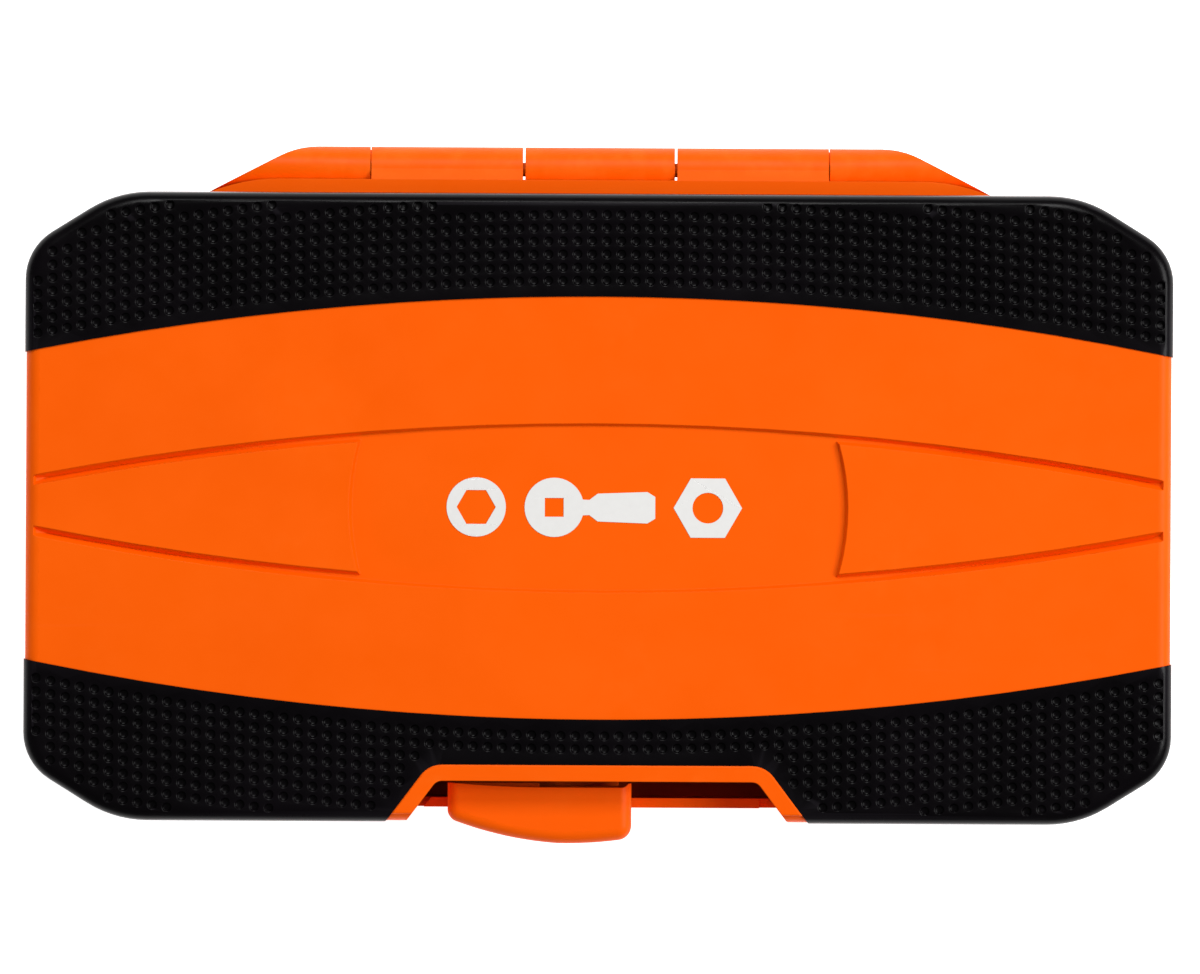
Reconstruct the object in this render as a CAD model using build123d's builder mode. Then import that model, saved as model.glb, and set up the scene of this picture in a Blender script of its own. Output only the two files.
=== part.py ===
from build123d import *
import math
import os

os.makedirs("parts", exist_ok=True)

# Case. X runs along the hinge, the latch is at -Y, and the origin is the middle of the underside.
CASE_LENGTH = 190.0
CASE_DEPTH = 104.0
BASE_HEIGHT = 24.0
LID_HEIGHT = 20.0
PARTING_GAP = 0.2
EMBED = 0.5
CORNER_CUT_X = 15.1
CORNER_CUT_Y = 9.4
LONG_SIDE_ROUND = 19.0
SHORT_SIDE_ROUND = 9.3
DRAFT = 1.0
EDGE_ROUND = 2.2
WALL = 2.6
INNER_ROUND = 1.0
FLOOR_THICKNESS = 2.2
LID_THICKNESS = 3.0
TONGUE_OUTER = 1.6
TONGUE_HEIGHT = 1.2
TONGUE_CLEARANCE = 0.2
LID_START = BASE_HEIGHT + PARTING_GAP
LID_TOP = LID_START + LID_HEIGHT

# Rubber grips: let into the shells along the front and rear, each bounded by a long arc.
GRIP_DEPTH = 1.3
GRIP_PROUD = 0.25
GRIP_ARC_MIDDLE = 35.0
GRIP_ARC_RADIUS = 475.0
LID_GRIP_LOW = 29.0
BASE_GRIP_HIGH = 15.5

# Shallow lens in the lid's band, with a flush wedge at each end.
LENS_HALF_HEIGHT = 14.0
LENS_RADIUS = 492.0
LENS_HALF_LENGTH = 93.5
LENS_SINK = 0.7
GROOVE_SINK = 2.2
LENS_WALL_LEAN = 28.0
GROOVE_RUNOUT_X = 89.0
GROOVE_RUNOUT_SINK = 0.5
LENS_GROOVE = 1.7
WEDGE_INNER_X = 39.8
WEDGE_DISH = 1.5

# Notch for the latch, in both shells.
NOTCH_TOP_HALF = 26.5
NOTCH_BACK_Y = -45.2
NOTCH_SLOPE = 0.75
NOTCH_ROUND = 1.8
NOTCH_REACH = 18.0
NOTCH_WALL = 2.0
RIM_WIDTH = 2.7
RIM_RISE = 0.4
RIM_END_INSET = 1.3

# Latch rail on the base, and the slider that wraps over it.
RAIL_FRONT_Y = -49.6
RAIL_BACK_Y = -48.0
RAIL_TOP = 33.0
RAIL_RIGHT = 26.9
RAIL_END_GAP = 0.9
RAIL_TAB_LENGTH = 1.4
RAIL_TAB_DROP = 1.5
SLOT_FLOOR = 14.0
SLOT_BACK_Y = -45.3
RAIL_GROOVE_LOW = 27.0
RAIL_GROOVE_HIGH = 28.5
RAIL_GROOVE_DEPTH = 0.7
SLIDER_LEFT = -24.7
SLIDER_RIGHT = 5.7
SLIDER_LOW = 16.0
SLIDER_HIGH = 39.5
SLIDER_BACK_Y = -45.55
SLIDER_FRONT_Y = -55.5
SLIDE_GAP = 0.3
LEG_THICKNESS = 1.1
LEG_LOW = 27.0
LEG_END_INSET = 1.2
HOOK_LOW = 30.5
HOOK_RIGHT = -9.5
SCOOP_Y = -46.25
SCOOP_LEFT = -23.9
SCOOP_LEFT_EASE = (-17.7, -46.0)
SCOOP_LEFT_FULL = -8.7
SCOOP_RIGHT_FULL = 4.1
SCOOP_RIGHT_EASE = (4.9, -45.9)
SCOOP_RIGHT = 5.2
RIB_CLEARANCE = 0.2
SLIDER_CREST_X = -6.5
SLIDER_LEFT_CORNER = 2.1
SLIDER_RIGHT_CORNER = 2.4
SLIDER_TOP_ROUND = 1.9
SLIDER_LOW_ROUND = 0.7
SLIDER_LEFT_END_Y = -51.4
SLIDER_LEFT_BULGE = (-16.0, -54.1)
SLIDER_RIGHT_END_Y = -54.6
SLIDER_RIGHT_BULGE = (0.0, -55.3)
FINGER_GROOVE_RADIUS = 0.55
FINGER_GROOVE_LENGTH = 11.0
FINGER_GROOVE_MIDDLE_Z = 25.5
LEFT_GROOVES = (0.7, 0.85, 1.0)
RIGHT_GROOVES = (0.22, 0.44)
CATCH_LEFT = -7.0
CATCH_RIGHT = 3.6
CATCH_FRONT_Y = -46.05
CATCH_LOW = 28.0
CATCH_HIGH = 30.2

# Hinge at the rear: five knuckles on one line.
HINGE_Y = 56.1
HINGE_Z = BASE_HEIGHT + PARTING_GAP / 2
KNUCKLE_RADIUS = 3.7
KNUCKLE_CLEARANCE = 4.0
CENTRE_KNUCKLE_HALF = 12.4
CENTRE_GAP = 0.4
OUTER_SEAM_X = 38.1
OUTER_SEAM_GAP = 0.15
HINGE_HALF_LENGTH = 65.2
SHOULDER_TOP_X = 50.0
SHOULDER_ROUND = 14.0
PIN_RADIUS = 1.15
PIN_CLEARANCE = 0.07
PIN_INNER_X = 3.0
PIN_OUTER_X = 50.0
FLANGE_WIDTH = 2.4
FLANGE_TOP = 28.7
FLANGE_FULL_X = 53.0
BASE_WEB_LOW = 16.3
BASE_WEB_DROP = 3.5
SEAM_LIP_LENGTH = 2.4
SEAM_LIP_THICKNESS = 1.4

# Tool tray, with the tools half sunk in it.
TRAY_TOP = 19.4
TRAY_INSET = 3.3
TRAY_NOTCH_GAP = 2.4
TRAY_BOTTOM_CHAMFER = 1.2
TOOL_Z = 20.0
POCKET_GAP = 0.4
POCKET_END_GAP = 0.5
NECK_POCKET_HALF = 7.6
GRIP_POCKET_HALF = 8.4
GRIP_POCKET_DEPTH = 7.2
FINGER_WELLS = ((0.0, 38.5, 24.0, 9.0), (-50.0, -3.0, 22.0, 8.0), (56.0, 13.5, 20.0, 9.0))
FINGER_WELL_DEPTH = 8.5

# Drive squares and bores, quarter-inch.
DRIVE_SIZE = 6.35
DRIVE_BORE = 6.5
DRIVE_LENGTH = 7.5
BORE_DEPTH = 8.5
DRIVE_CHAMFER = 0.5
BALL_RADIUS = 1.1
BALL_CENTRE = 2.5
BALL_FROM_END = 3.6

# Sockets: size across flats, outside diameter of the hex end.
SOCKETS = (
    ("4", 4.0, 6.8),
    ("5", 5.0, 7.9),
    ("5_5", 5.5, 8.5),
    ("6", 6.0, 9.2),
    ("7", 7.0, 10.6),
    ("8", 8.0, 12.0),
    ("9", 9.0, 13.1),
    ("10", 10.0, 14.4),
    ("11", 11.0, 15.6),
    ("12", 12.0, 16.8),
    ("13", 13.0, 18.0),
)
SOCKET_LENGTH = 25.0
SOCKET_DRIVE_END = 12.0
SOCKET_DRIVE_LENGTH = 10.5
SOCKET_NECK_LENGTH = 2.5
SOCKET_GAP = 2.6
SOCKET_BACK_Y = -16.0
SOCKET_CHAMFER = 0.5
HEX_FIT = 0.1
HEX_DEPTH = 10.0
SOCKET_THROUGH = 0.36

# Ratchet, head at the left end.
RATCHET_X = -74.0
RATCHET_Y = 31.2
RATCHET_Z = 20.5
HEAD_RADIUS = 13.0
HEAD_THICKNESS = 10.0
HEAD_TAIL_X = 14.0
HEAD_TAIL_RADIUS = 9.8
COVER_RADIUS = 11.2
COVER_TAIL_RADIUS = 8.3
COVER_TAIL_X = 12.5
COVER_THICKNESS = 1.5
GEAR_TEETH = 48
GEAR_TIP = 8.3
GEAR_ROOT = 7.85
GEAR_CAVITY = 8.6
GEAR_LOW = 17.2
GEAR_HIGH = 23.8
CAVITY_LOW = 17.0
JOURNAL_RADIUS = 5.4
JOURNAL_GAP = 0.08
ANVIL_LOW = 8.0
BOSS_RADIUS = 4.0
BUTTON_RADIUS = 2.4
BUTTON_TOP = 27.3
BUTTON_LOW = 23.2
BUTTON_STEM = 1.2
BUTTON_GAP = 0.1
WELL_FLOOR = 19.0
LEVER_X = 12.5
LEVER_SHAFT = 2.0
LEVER_DISC = 5.2
LEVER_LOW = 25.8
LEVER_HIGH = 28.4
LEVER_TAB_END = 9.5
PAWL_LOW = 18.5
PAWL_HIGH = 23.5
PAWL_RADIUS = 3.6
PAWL_GEAR_GAP = 0.6
PAWL_POCKET_END = 16.8
PAWL_POCKET_HALF = 6.2
PLUNGER_RADIUS = 1.2
SPRING_WIRE = 0.2
SCREW_X = 6.5
SCREW_Y = 8.15
SCREW_HEAD = 1.5
SCREW_SHANK = 0.9
NECK_END_X = 46.0
TANG_END_X = 120.0
HANDLE_END_X = 125.0
GRIP_START_X = 42.0

# Sliding T-bar.
TBAR_X = -32.5
TBAR_Y = 10.0
TBAR_Z = 22.0
TBAR_LENGTH = 115.0
TBAR_RADIUS = 3.2
TBAR_BORE = 3.3
TBAR_BLOCK = 6.0
TBAR_BLOCK_HALF = 6.4
TBAR_TRAVEL = 46.0
TBAR_SQUARE_END = 8.1

# Extensions, adaptor and universal joint, lying along X.
LANE_Y = -6.0
SHORT_LANE_Y = 10.5
LONG_EXTENSION = 100.0
LONG_EXTENSION_X = -90.0
SHORT_EXTENSION = 50.0
SHORT_EXTENSION_X = 31.0
EXTENSION_SHAFT = 3.7
EXTENSION_END = 6.0
EXTENSION_END_LENGTH = 14.0
EXTENSION_COLLAR = 4.6
ADAPTOR_X = 62.0
ADAPTOR_LENGTH = 25.0
ADAPTOR_RADIUS = 5.9
ADAPTOR_HEX_DEPTH = 11.0
MAGNET_RADIUS = 2.9
MAGNET_THICKNESS = 2.0
JOINT_X = 36.0
JOINT_HALF = 19.0
JOINT_RADIUS = 6.3
EAR_INNER = 3.7
EAR_HALF = 3.4
YOKE_FACE = 8.0
CROSS_HALF = 3.5
CROSS_PIN = 1.25
CROSS_PIN_GAP = 0.06
CROSS_PIN_REACH = 6.0
JOINT_POCKET_HALF = 9.3
JOINT_POCKET_FLOOR = 8.4
JOINT_POCKET_START = 28.5
JOINT_POCKET_END = 57.5

# Bit rack with four columns of three bits.
RACK_X = 70.0
RACK_Y = 31.0
RACK_LOW = 2.4
RACK_TOP = 14.0
RACK_WIDTH = 33.0
RACK_DEPTH = 26.0
BIT_PITCH_X = 8.0
BIT_PITCH_Y = 8.4
BIT_FLATS = 6.35
BIT_LOW = 3.4
BIT_LENGTH = 25.0
BIT_BODY = 14.0
BIT_SHANK = 2.4
BIT_HOLE_FLATS = 6.45


def save(part, name):
    """Label one piece and write its STEP file."""
    part.label = name
    export_step(part, "parts/" + name + ".step")


# ---------------------------------------------------------------- plan shapes


def case_outline(growth=0.0):
    """Plan of the case: a rectangle with long sloping corners, all corners rounded."""
    x = CASE_LENGTH / 2
    y = CASE_DEPTH / 2
    points = []
    for sx, sy, first_x in ((1, 1, True), (-1, 1, False), (-1, -1, True), (1, -1, False)):
        on_side = (sx * x, sy * (y - CORNER_CUT_Y))
        on_front = (sx * (x - CORNER_CUT_X), sy * y)
        points += [on_side, on_front] if first_x else [on_front, on_side]
    with BuildSketch() as plan:
        Polygon(*points, align=None)
        fillet(plan.vertices().filter_by(lambda v: abs(v.Y) > y - 0.01), LONG_SIDE_ROUND)
        fillet(plan.vertices().filter_by(lambda v: abs(v.X) > x - 0.01), SHORT_SIDE_ROUND)
        if growth:
            offset(amount=growth)
    return plan.sketch


def latch_notch(growth=0.0):
    """Plan of the notch at the front, narrow at the back and open past the front edge."""
    top = NOTCH_TOP_HALF
    foot = top + NOTCH_SLOPE * NOTCH_REACH
    front = NOTCH_BACK_Y - NOTCH_REACH
    with BuildSketch() as plan:
        Polygon((-top, NOTCH_BACK_Y), (-foot, front), (foot, front), (top, NOTCH_BACK_Y), align=None)
        inner = plan.vertices().group_by(Axis.Y)[-1]
        fillet(inner, NOTCH_ROUND)
        if growth:
            offset(amount=growth)
    return plan.sketch


def grip_zone(rear):
    """Plan area of one rubber grip, beyond the long arc."""
    side = 1 if rear else -1
    with BuildSketch() as plan:
        with Locations((0, side * CASE_DEPTH / 2)):
            Rectangle(CASE_LENGTH + 20, CASE_DEPTH)
        with Locations((0, side * (GRIP_ARC_MIDDLE - GRIP_ARC_RADIUS))):
            Circle(GRIP_ARC_RADIUS, mode=Mode.SUBTRACT)
        if not rear:
            add(latch_notch(RIM_WIDTH), mode=Mode.SUBTRACT)
    return plan.sketch


def lens_height(x, middle, radius):
    """Half-height at x of an arc that is `middle` high at x = 0."""
    return middle - radius + math.sqrt(radius**2 - x**2)


def lens_plan(inset):
    """Plan of the lens between its blunt ends, moved in by `inset`."""
    radius = LENS_RADIUS - inset
    middle = LENS_HALF_HEIGHT - inset
    end_x = LENS_HALF_LENGTH - inset
    end_y = lens_height(end_x, middle, radius)
    with BuildSketch() as plan:
        with BuildLine():
            ThreePointArc((-end_x, end_y), (0, middle), (end_x, end_y))
            Line((end_x, end_y), (end_x, -end_y))
            ThreePointArc((end_x, -end_y), (0, -middle), (-end_x, -end_y))
            Line((-end_x, -end_y), (-end_x, end_y))
        make_face()
    return plan.sketch


def wedge_plan(side, growth):
    """Plan of one flush wedge, with its inner end dished, grown by `growth`."""
    radius = LENS_RADIUS - LENS_GROOVE + growth
    middle = LENS_HALF_HEIGHT - LENS_GROOVE + growth
    inner_x = WEDGE_INNER_X - growth
    outer_x = LENS_HALF_LENGTH + 2
    xs = (inner_x, (inner_x + outer_x) / 2, outer_x)
    top = [(side * x, lens_height(x, middle, radius)) for x in xs]
    low = [(x, -y) for x, y in reversed(top)]
    with BuildSketch() as plan:
        with BuildLine():
            ThreePointArc(*top)
            Line(top[-1], low[0])
            ThreePointArc(*low)
            ThreePointArc(low[-1], (side * (inner_x + WEDGE_DISH), 0), top[0])
        make_face()
    return plan.sketch


def leaning_block(low, low_plan, high, high_plan):
    """A block whose walls run straight from one plan to the other."""
    with BuildPart() as block:
        with BuildSketch(Plane.XY.offset(low)):
            add(low_plan)
        with BuildSketch(Plane.XY.offset(high)):
            add(high_plan)
        loft(ruled=True)
    return block.part


def pear(radius, tail_x, tail_radius, growth=0.0):
    """Plan of the ratchet's head: two circles and their common tangents."""
    with BuildSketch() as plan:
        with BuildLine():
            CenterArc((0, 0), radius + growth, 0, 360)
            CenterArc((tail_x, 0), tail_radius + growth, 0, 360)
        make_hull()
    return plan.sketch


# ---------------------------------------------------------------- case solids


def case_block(height, growth=0.0, rounding=0.0, up=True):
    """Drafted block on the case's plan, standing up from the lid's or down from the base's edge."""
    start = LID_START if up else BASE_HEIGHT
    plane = Plane(origin=(0, 0, start), x_dir=(1, 0, 0), z_dir=(0, 0, 1 if up else -1))
    with BuildPart() as block:
        with BuildSketch(plane):
            add(case_outline(growth))
        extrude(amount=height, taper=DRAFT)
        if rounding:
            ends = block.faces().sort_by(Axis.Z)
            far = ends[-1] if up else ends[0]
            fillet(far.edges(), rounding)
    return block.part


def make_grip(rear, up):
    """One rubber grip: a skin over the shell's flat face and down its wall."""
    height = LID_HEIGHT if up else BASE_HEIGHT
    proud = GRIP_PROUD if up else 0.0
    low = LID_GRIP_LOW if up else -1.0
    high = LID_TOP + 1.0 if up else BASE_GRIP_HIGH
    with BuildPart() as grip:
        add(case_block(height + proud, GRIP_PROUD, EDGE_ROUND, up))
        with BuildSketch(Plane.XY.offset(low)):
            add(grip_zone(rear))
        extrude(amount=high - low, mode=Mode.INTERSECT)
        add(case_block(height - GRIP_DEPTH, -GRIP_DEPTH, EDGE_ROUND - GRIP_DEPTH, up), mode=Mode.SUBTRACT)
    return grip.part


def make_lens_cut():
    """What is taken out of the lid's face: the lens less its wedges, with leaning walls."""
    low = LID_TOP - 1.5 * GROOVE_SINK
    high = LID_TOP + 1
    lean = math.tan(math.radians(LENS_WALL_LEAN))
    inward = (LID_TOP - low) * lean
    outward = (high - LID_TOP) * lean
    with BuildPart() as cut:
        add(leaning_block(low, lens_plan(inward), high, lens_plan(-outward)))
        for side in (-1, 1):
            wedge = leaning_block(low, wedge_plan(side, inward), high, wedge_plan(side, -outward))
            add(wedge, mode=Mode.SUBTRACT)
        with BuildSketch(Plane.XZ):
            with BuildLine():
                left = (-GROOVE_RUNOUT_X, LID_TOP - GROOVE_SINK)
                right = (GROOVE_RUNOUT_X, LID_TOP - GROOVE_SINK)
                left_end = (-LENS_HALF_LENGTH - 1, LID_TOP - GROOVE_RUNOUT_SINK)
                right_end = (LENS_HALF_LENGTH + 1, LID_TOP - GROOVE_RUNOUT_SINK)
                ThreePointArc(left, (0, LID_TOP - LENS_SINK), right)
                Polyline(right, right_end, (right_end[0], high), (left_end[0], high), left_end, left)
            make_face()
        extrude(amount=2 * LENS_HALF_HEIGHT, both=True, mode=Mode.INTERSECT)
    return cut.part


def make_knuckle(start, end, web):
    """A barrel on the hinge line, with its web to the wall."""
    with BuildPart() as knuckle:
        with BuildSketch(Plane.YZ.offset(start)):
            with Locations((HINGE_Y, HINGE_Z)):
                Circle(KNUCKLE_RADIUS)
            Polygon(*web, align=None)
        extrude(amount=end - start)
    return knuckle.part


def make_outer_knuckle(side, span, web):
    """An end knuckle of the base, cut back to its sloping shoulder."""
    with BuildPart() as knuckle:
        add(make_knuckle(span[0], span[1], web))
        with BuildSketch():
            add(shoulder_plan(side))
        extrude(amount=BASE_HEIGHT + LID_HEIGHT, mode=Mode.INTERSECT)
    return knuckle.part


def make_bar(start, end, radius):
    """A round bar on the hinge line."""
    with BuildPart() as bar:
        with BuildSketch(Plane.YZ.offset(start)):
            with Locations((HINGE_Y, HINGE_Z)):
                Circle(radius)
        extrude(amount=end - start)
    return bar.part


def shoulder_plan(side):
    """Plan of an outer knuckle, its shoulder sloping back to the case."""
    far = HINGE_Y + KNUCKLE_RADIUS + 1
    wall = CASE_DEPTH / 2
    slope = (HINGE_HALF_LENGTH - SHOULDER_TOP_X) / (HINGE_Y + KNUCKLE_RADIUS - wall)
    points = (
        (side * OUTER_SEAM_X, wall - 2),
        (side * OUTER_SEAM_X, HINGE_Y + KNUCKLE_RADIUS),
        (side * SHOULDER_TOP_X, HINGE_Y + KNUCKLE_RADIUS),
        (side * (HINGE_HALF_LENGTH + slope * 2), wall - 2),
    )
    with BuildSketch() as plan:
        Polygon(*points, align=None)
        top = plan.vertices().filter_by(lambda v: v.Y > far - 1.5 and abs(v.X) > OUTER_SEAM_X + 1)
        fillet(top, SHOULDER_ROUND)
    return plan.sketch


def flange_plan():
    """Plan of the lid's narrow flange over the hinge, its ends fading into the wall."""
    wall = CASE_DEPTH / 2
    edge = wall + FLANGE_WIDTH
    with BuildSketch() as plan:
        with BuildLine():
            tip = (HINGE_HALF_LENGTH, wall - 0.1)
            full = (FLANGE_FULL_X, edge)
            Line((-FLANGE_FULL_X, edge), full)
            TangentArc(full, tip, tangent=(1, 0))
            Polyline(tip, (HINGE_HALF_LENGTH, wall - 1), (-HINGE_HALF_LENGTH, wall - 1), (-tip[0], tip[1]))
            TangentArc((-FLANGE_FULL_X, edge), (-tip[0], tip[1]), tangent=(-1, 0))
        make_face()
    return plan.sketch


def base_knuckle_spans():
    """Where the base's three knuckles run along X."""
    return (
        (-HINGE_HALF_LENGTH, -OUTER_SEAM_X),
        (-CENTRE_KNUCKLE_HALF, CENTRE_KNUCKLE_HALF),
        (OUTER_SEAM_X, HINGE_HALF_LENGTH),
    )


def make_base_shell(grips):
    """The orange base: tub, rear knuckles, front notch with the latch rail."""
    wall = CASE_DEPTH / 2
    web = (
        (wall - 1, BASE_WEB_LOW),
        (wall + EMBED, BASE_WEB_LOW),
        (HINGE_Y + 1, HINGE_Z - BASE_WEB_DROP),
        (HINGE_Y, BASE_HEIGHT),
        (wall - 1, BASE_HEIGHT),
    )
    with BuildPart() as base:
        add(case_block(BASE_HEIGHT, 0, EDGE_ROUND, False))
        add(case_block(BASE_HEIGHT - FLOOR_THICKNESS, -WALL, INNER_ROUND, False), mode=Mode.SUBTRACT)
        # Tongue that locates the lid.
        with BuildSketch(Plane.XY.offset(BASE_HEIGHT - 1)):
            add(case_outline(-TONGUE_OUTER))
            add(case_outline(-WALL), mode=Mode.SUBTRACT)
            add(latch_notch(NOTCH_WALL + 2), mode=Mode.SUBTRACT)
        extrude(amount=1 + TONGUE_HEIGHT)
        # Pocket wall behind the latch.
        with BuildSketch():
            add(latch_notch(NOTCH_WALL))
            add(case_outline(-WALL / 2), mode=Mode.INTERSECT)
        extrude(amount=BASE_HEIGHT)
        # Front of the notch, open from top to bottom.
        with BuildSketch(Plane.XY.offset(-1)):
            add(latch_notch())
            with Locations((0, RAIL_FRONT_Y)):
                Rectangle(CASE_LENGTH, CASE_DEPTH, align=(Align.CENTER, Align.MAX), mode=Mode.INTERSECT)
        extrude(amount=BASE_HEIGHT + 2, mode=Mode.SUBTRACT)
        # Slot behind the rail for the slider's leg.
        with BuildSketch(Plane.XY.offset(SLOT_FLOOR)):
            add(latch_notch())
            with Locations((0, RAIL_BACK_Y)):
                Rectangle(
                    CASE_LENGTH,
                    SLOT_BACK_Y - RAIL_BACK_Y,
                    align=(Align.CENTER, Align.MIN),
                    mode=Mode.INTERSECT,
                )
        extrude(amount=BASE_HEIGHT, mode=Mode.SUBTRACT)
        # Rail plate above the parting line, with its low end tab.
        with BuildSketch(Plane.XY.offset(BASE_HEIGHT - 1)):
            add(latch_notch(-RAIL_END_GAP))
            with Locations((RAIL_RIGHT, RAIL_FRONT_Y)):
                Rectangle(
                    CASE_LENGTH,
                    RAIL_BACK_Y - RAIL_FRONT_Y,
                    align=(Align.MAX, Align.MIN),
                    mode=Mode.INTERSECT,
                )
        extrude(amount=RAIL_TOP - BASE_HEIGHT + 1)
        with Locations((RAIL_RIGHT, RAIL_BACK_Y, BASE_HEIGHT - 1)):
            Box(
                2 * RAIL_TAB_LENGTH,
                RAIL_GROOVE_DEPTH,
                RAIL_TOP - RAIL_TAB_DROP - BASE_HEIGHT + 1,
                align=(Align.CENTER, Align.MAX, Align.MIN),
            )
        with Locations((0, RAIL_FRONT_Y, RAIL_GROOVE_LOW)):
            Box(
                CASE_LENGTH,
                2 * RAIL_GROOVE_DEPTH,
                RAIL_GROOVE_HIGH - RAIL_GROOVE_LOW,
                align=(Align.CENTER, Align.CENTER, Align.MIN),
                mode=Mode.SUBTRACT,
            )
        # Knuckles.
        left, centre, right = base_knuckle_spans()
        add(make_knuckle(centre[0], centre[1], web))
        add(make_outer_knuckle(-1, left, web))
        add(make_outer_knuckle(1, right, web))
        # Lips that reach under the lid's knuckles and close the outer seams from below.
        with Locations(*[(side * OUTER_SEAM_X, wall - 1, HINGE_Z - KNUCKLE_CLEARANCE) for side in (-1, 1)]):
            Box(
                SEAM_LIP_LENGTH,
                HINGE_Y + KNUCKLE_RADIUS - EMBED - wall + 1,
                SEAM_LIP_THICKNESS,
                align=(Align.CENTER, Align.MIN, Align.MAX),
            )
        add(make_bar(-HINGE_HALF_LENGTH, HINGE_HALF_LENGTH, PIN_RADIUS), mode=Mode.SUBTRACT)
        for grip in grips:
            add(grip, mode=Mode.SUBTRACT)
    return base.part


def make_lid_shell(grips):
    """The orange lid: cap, lens, raised rim round the notch, catch, and rear knuckles."""
    wall = CASE_DEPTH / 2
    web = (
        (wall - 1, LID_START),
        (HINGE_Y, LID_START),
        (HINGE_Y, HINGE_Z + KNUCKLE_RADIUS),
        (wall + FLANGE_WIDTH, FLANGE_TOP),
        (wall - 1, FLANGE_TOP),
    )
    with BuildPart() as lid:
        add(case_block(LID_HEIGHT, 0, EDGE_ROUND, True))
        add(case_block(LID_HEIGHT - LID_THICKNESS, -WALL, INNER_ROUND, True), mode=Mode.SUBTRACT)
        # Rebate over the base's tongue.
        with BuildSketch(Plane.XY.offset(LID_START)):
            add(case_outline(TONGUE_CLEARANCE - TONGUE_OUTER))
            add(latch_notch(NOTCH_WALL + 1), mode=Mode.SUBTRACT)
        extrude(amount=TONGUE_HEIGHT + TONGUE_CLEARANCE, mode=Mode.SUBTRACT)
        # Wall round the notch, and the rim raised above it.
        with BuildSketch(Plane.XY.offset(LID_START)):
            add(latch_notch(NOTCH_WALL))
            add(case_outline(-WALL / 2), mode=Mode.INTERSECT)
        extrude(amount=LID_HEIGHT - 1)
        with BuildSketch(Plane.XY.offset(LID_TOP - 1)):
            add(latch_notch(RIM_WIDTH))
            add(case_outline(-RIM_END_INSET), mode=Mode.INTERSECT)
        extrude(amount=1 + RIM_RISE)
        rim_top = lid.faces().sort_by(Axis.Z)[-1]
        fillet(rim_top.edges(), RIM_RISE * 0.7)
        with BuildSketch(Plane.XY.offset(LID_START - 1)):
            add(latch_notch())
        extrude(amount=LID_HEIGHT + 3, mode=Mode.SUBTRACT)
        # Catch that the slider's hook goes over.
        with Locations(((CATCH_LEFT + CATCH_RIGHT) / 2, NOTCH_BACK_Y + EMBED, CATCH_LOW)):
            Box(
                CATCH_RIGHT - CATCH_LEFT,
                NOTCH_BACK_Y + EMBED - CATCH_FRONT_Y,
                CATCH_HIGH - CATCH_LOW,
                align=(Align.CENTER, Align.MAX, Align.MIN),
            )
        add(make_lens_cut(), mode=Mode.SUBTRACT)
        # Flange, knuckles, and the room they leave for the base's knuckles and the pins.
        with BuildSketch(Plane.XY.offset(LID_START)):
            add(flange_plan())
        extrude(amount=FLANGE_TOP - LID_START)
        for side in (-1, 1):
            near = side * (CENTRE_KNUCKLE_HALF + CENTRE_GAP)
            far = side * (OUTER_SEAM_X - OUTER_SEAM_GAP)
            add(make_knuckle(min(near, far), max(near, far), web))
        for start, end in base_knuckle_spans():
            room = CENTRE_GAP if end == CENTRE_KNUCKLE_HALF else OUTER_SEAM_GAP
            low = start - (room if start > -HINGE_HALF_LENGTH else 1)
            high = end + (room if end < HINGE_HALF_LENGTH else 1)
            add(make_bar(low, high, KNUCKLE_CLEARANCE), mode=Mode.SUBTRACT)
        reach = OUTER_SEAM_X + 1
        add(make_bar(-reach, reach, PIN_RADIUS + PIN_CLEARANCE), mode=Mode.SUBTRACT)
        for grip in grips:
            add(grip, mode=Mode.SUBTRACT)
    return lid.part


def make_hinge_pins():
    """Two plain pins, each held in the base's knuckles and turning in one of the lid's."""
    with BuildPart() as pins:
        add(make_bar(-PIN_OUTER_X, -PIN_INNER_X, PIN_RADIUS))
        add(make_bar(PIN_INNER_X, PIN_OUTER_X, PIN_RADIUS))
    return pins.part


def slider_front():
    """The slider's bulged front edge, as two arcs from left to right."""
    left_end = (SLIDER_LEFT, SLIDER_LEFT_END_Y)
    crest = (SLIDER_CREST_X, SLIDER_FRONT_Y)
    right_end = (SLIDER_RIGHT, SLIDER_RIGHT_END_Y)
    left_arc = ThreePointArc(left_end, SLIDER_LEFT_BULGE, crest, mode=Mode.PRIVATE)
    right_arc = ThreePointArc(crest, SLIDER_RIGHT_BULGE, right_end, mode=Mode.PRIVATE)
    return left_arc, right_arc


def make_slider_block():
    """The slider's full block, well rounded on top, before its inside is cut."""
    left_arc, right_arc = slider_front()
    with BuildPart() as block:
        with BuildSketch(Plane.XY.offset(SLIDER_LOW)) as plan:
            with BuildLine():
                add(left_arc)
                add(right_arc)
                back_left = (SLIDER_LEFT, SLIDER_BACK_Y)
                back_right = (SLIDER_RIGHT, SLIDER_BACK_Y)
                Polyline(right_arc @ 1, back_right, back_left, left_arc @ 0)
            make_face()
            fillet(plan.vertices().group_by(Axis.X)[0].sort_by(Axis.Y)[0], SLIDER_LEFT_CORNER)
            fillet(plan.vertices().group_by(Axis.X)[-1].sort_by(Axis.Y)[0], SLIDER_RIGHT_CORNER)
        extrude(amount=SLIDER_HIGH - SLIDER_LOW)
        for face, radius in ((-1, SLIDER_TOP_ROUND), (0, SLIDER_LOW_ROUND)):
            rim = block.faces().sort_by(Axis.Z)[face].edges()
            fillet(rim.filter_by(lambda edge: edge.center().Y < SLIDER_BACK_Y - EMBED), radius)
    return block.part


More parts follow.
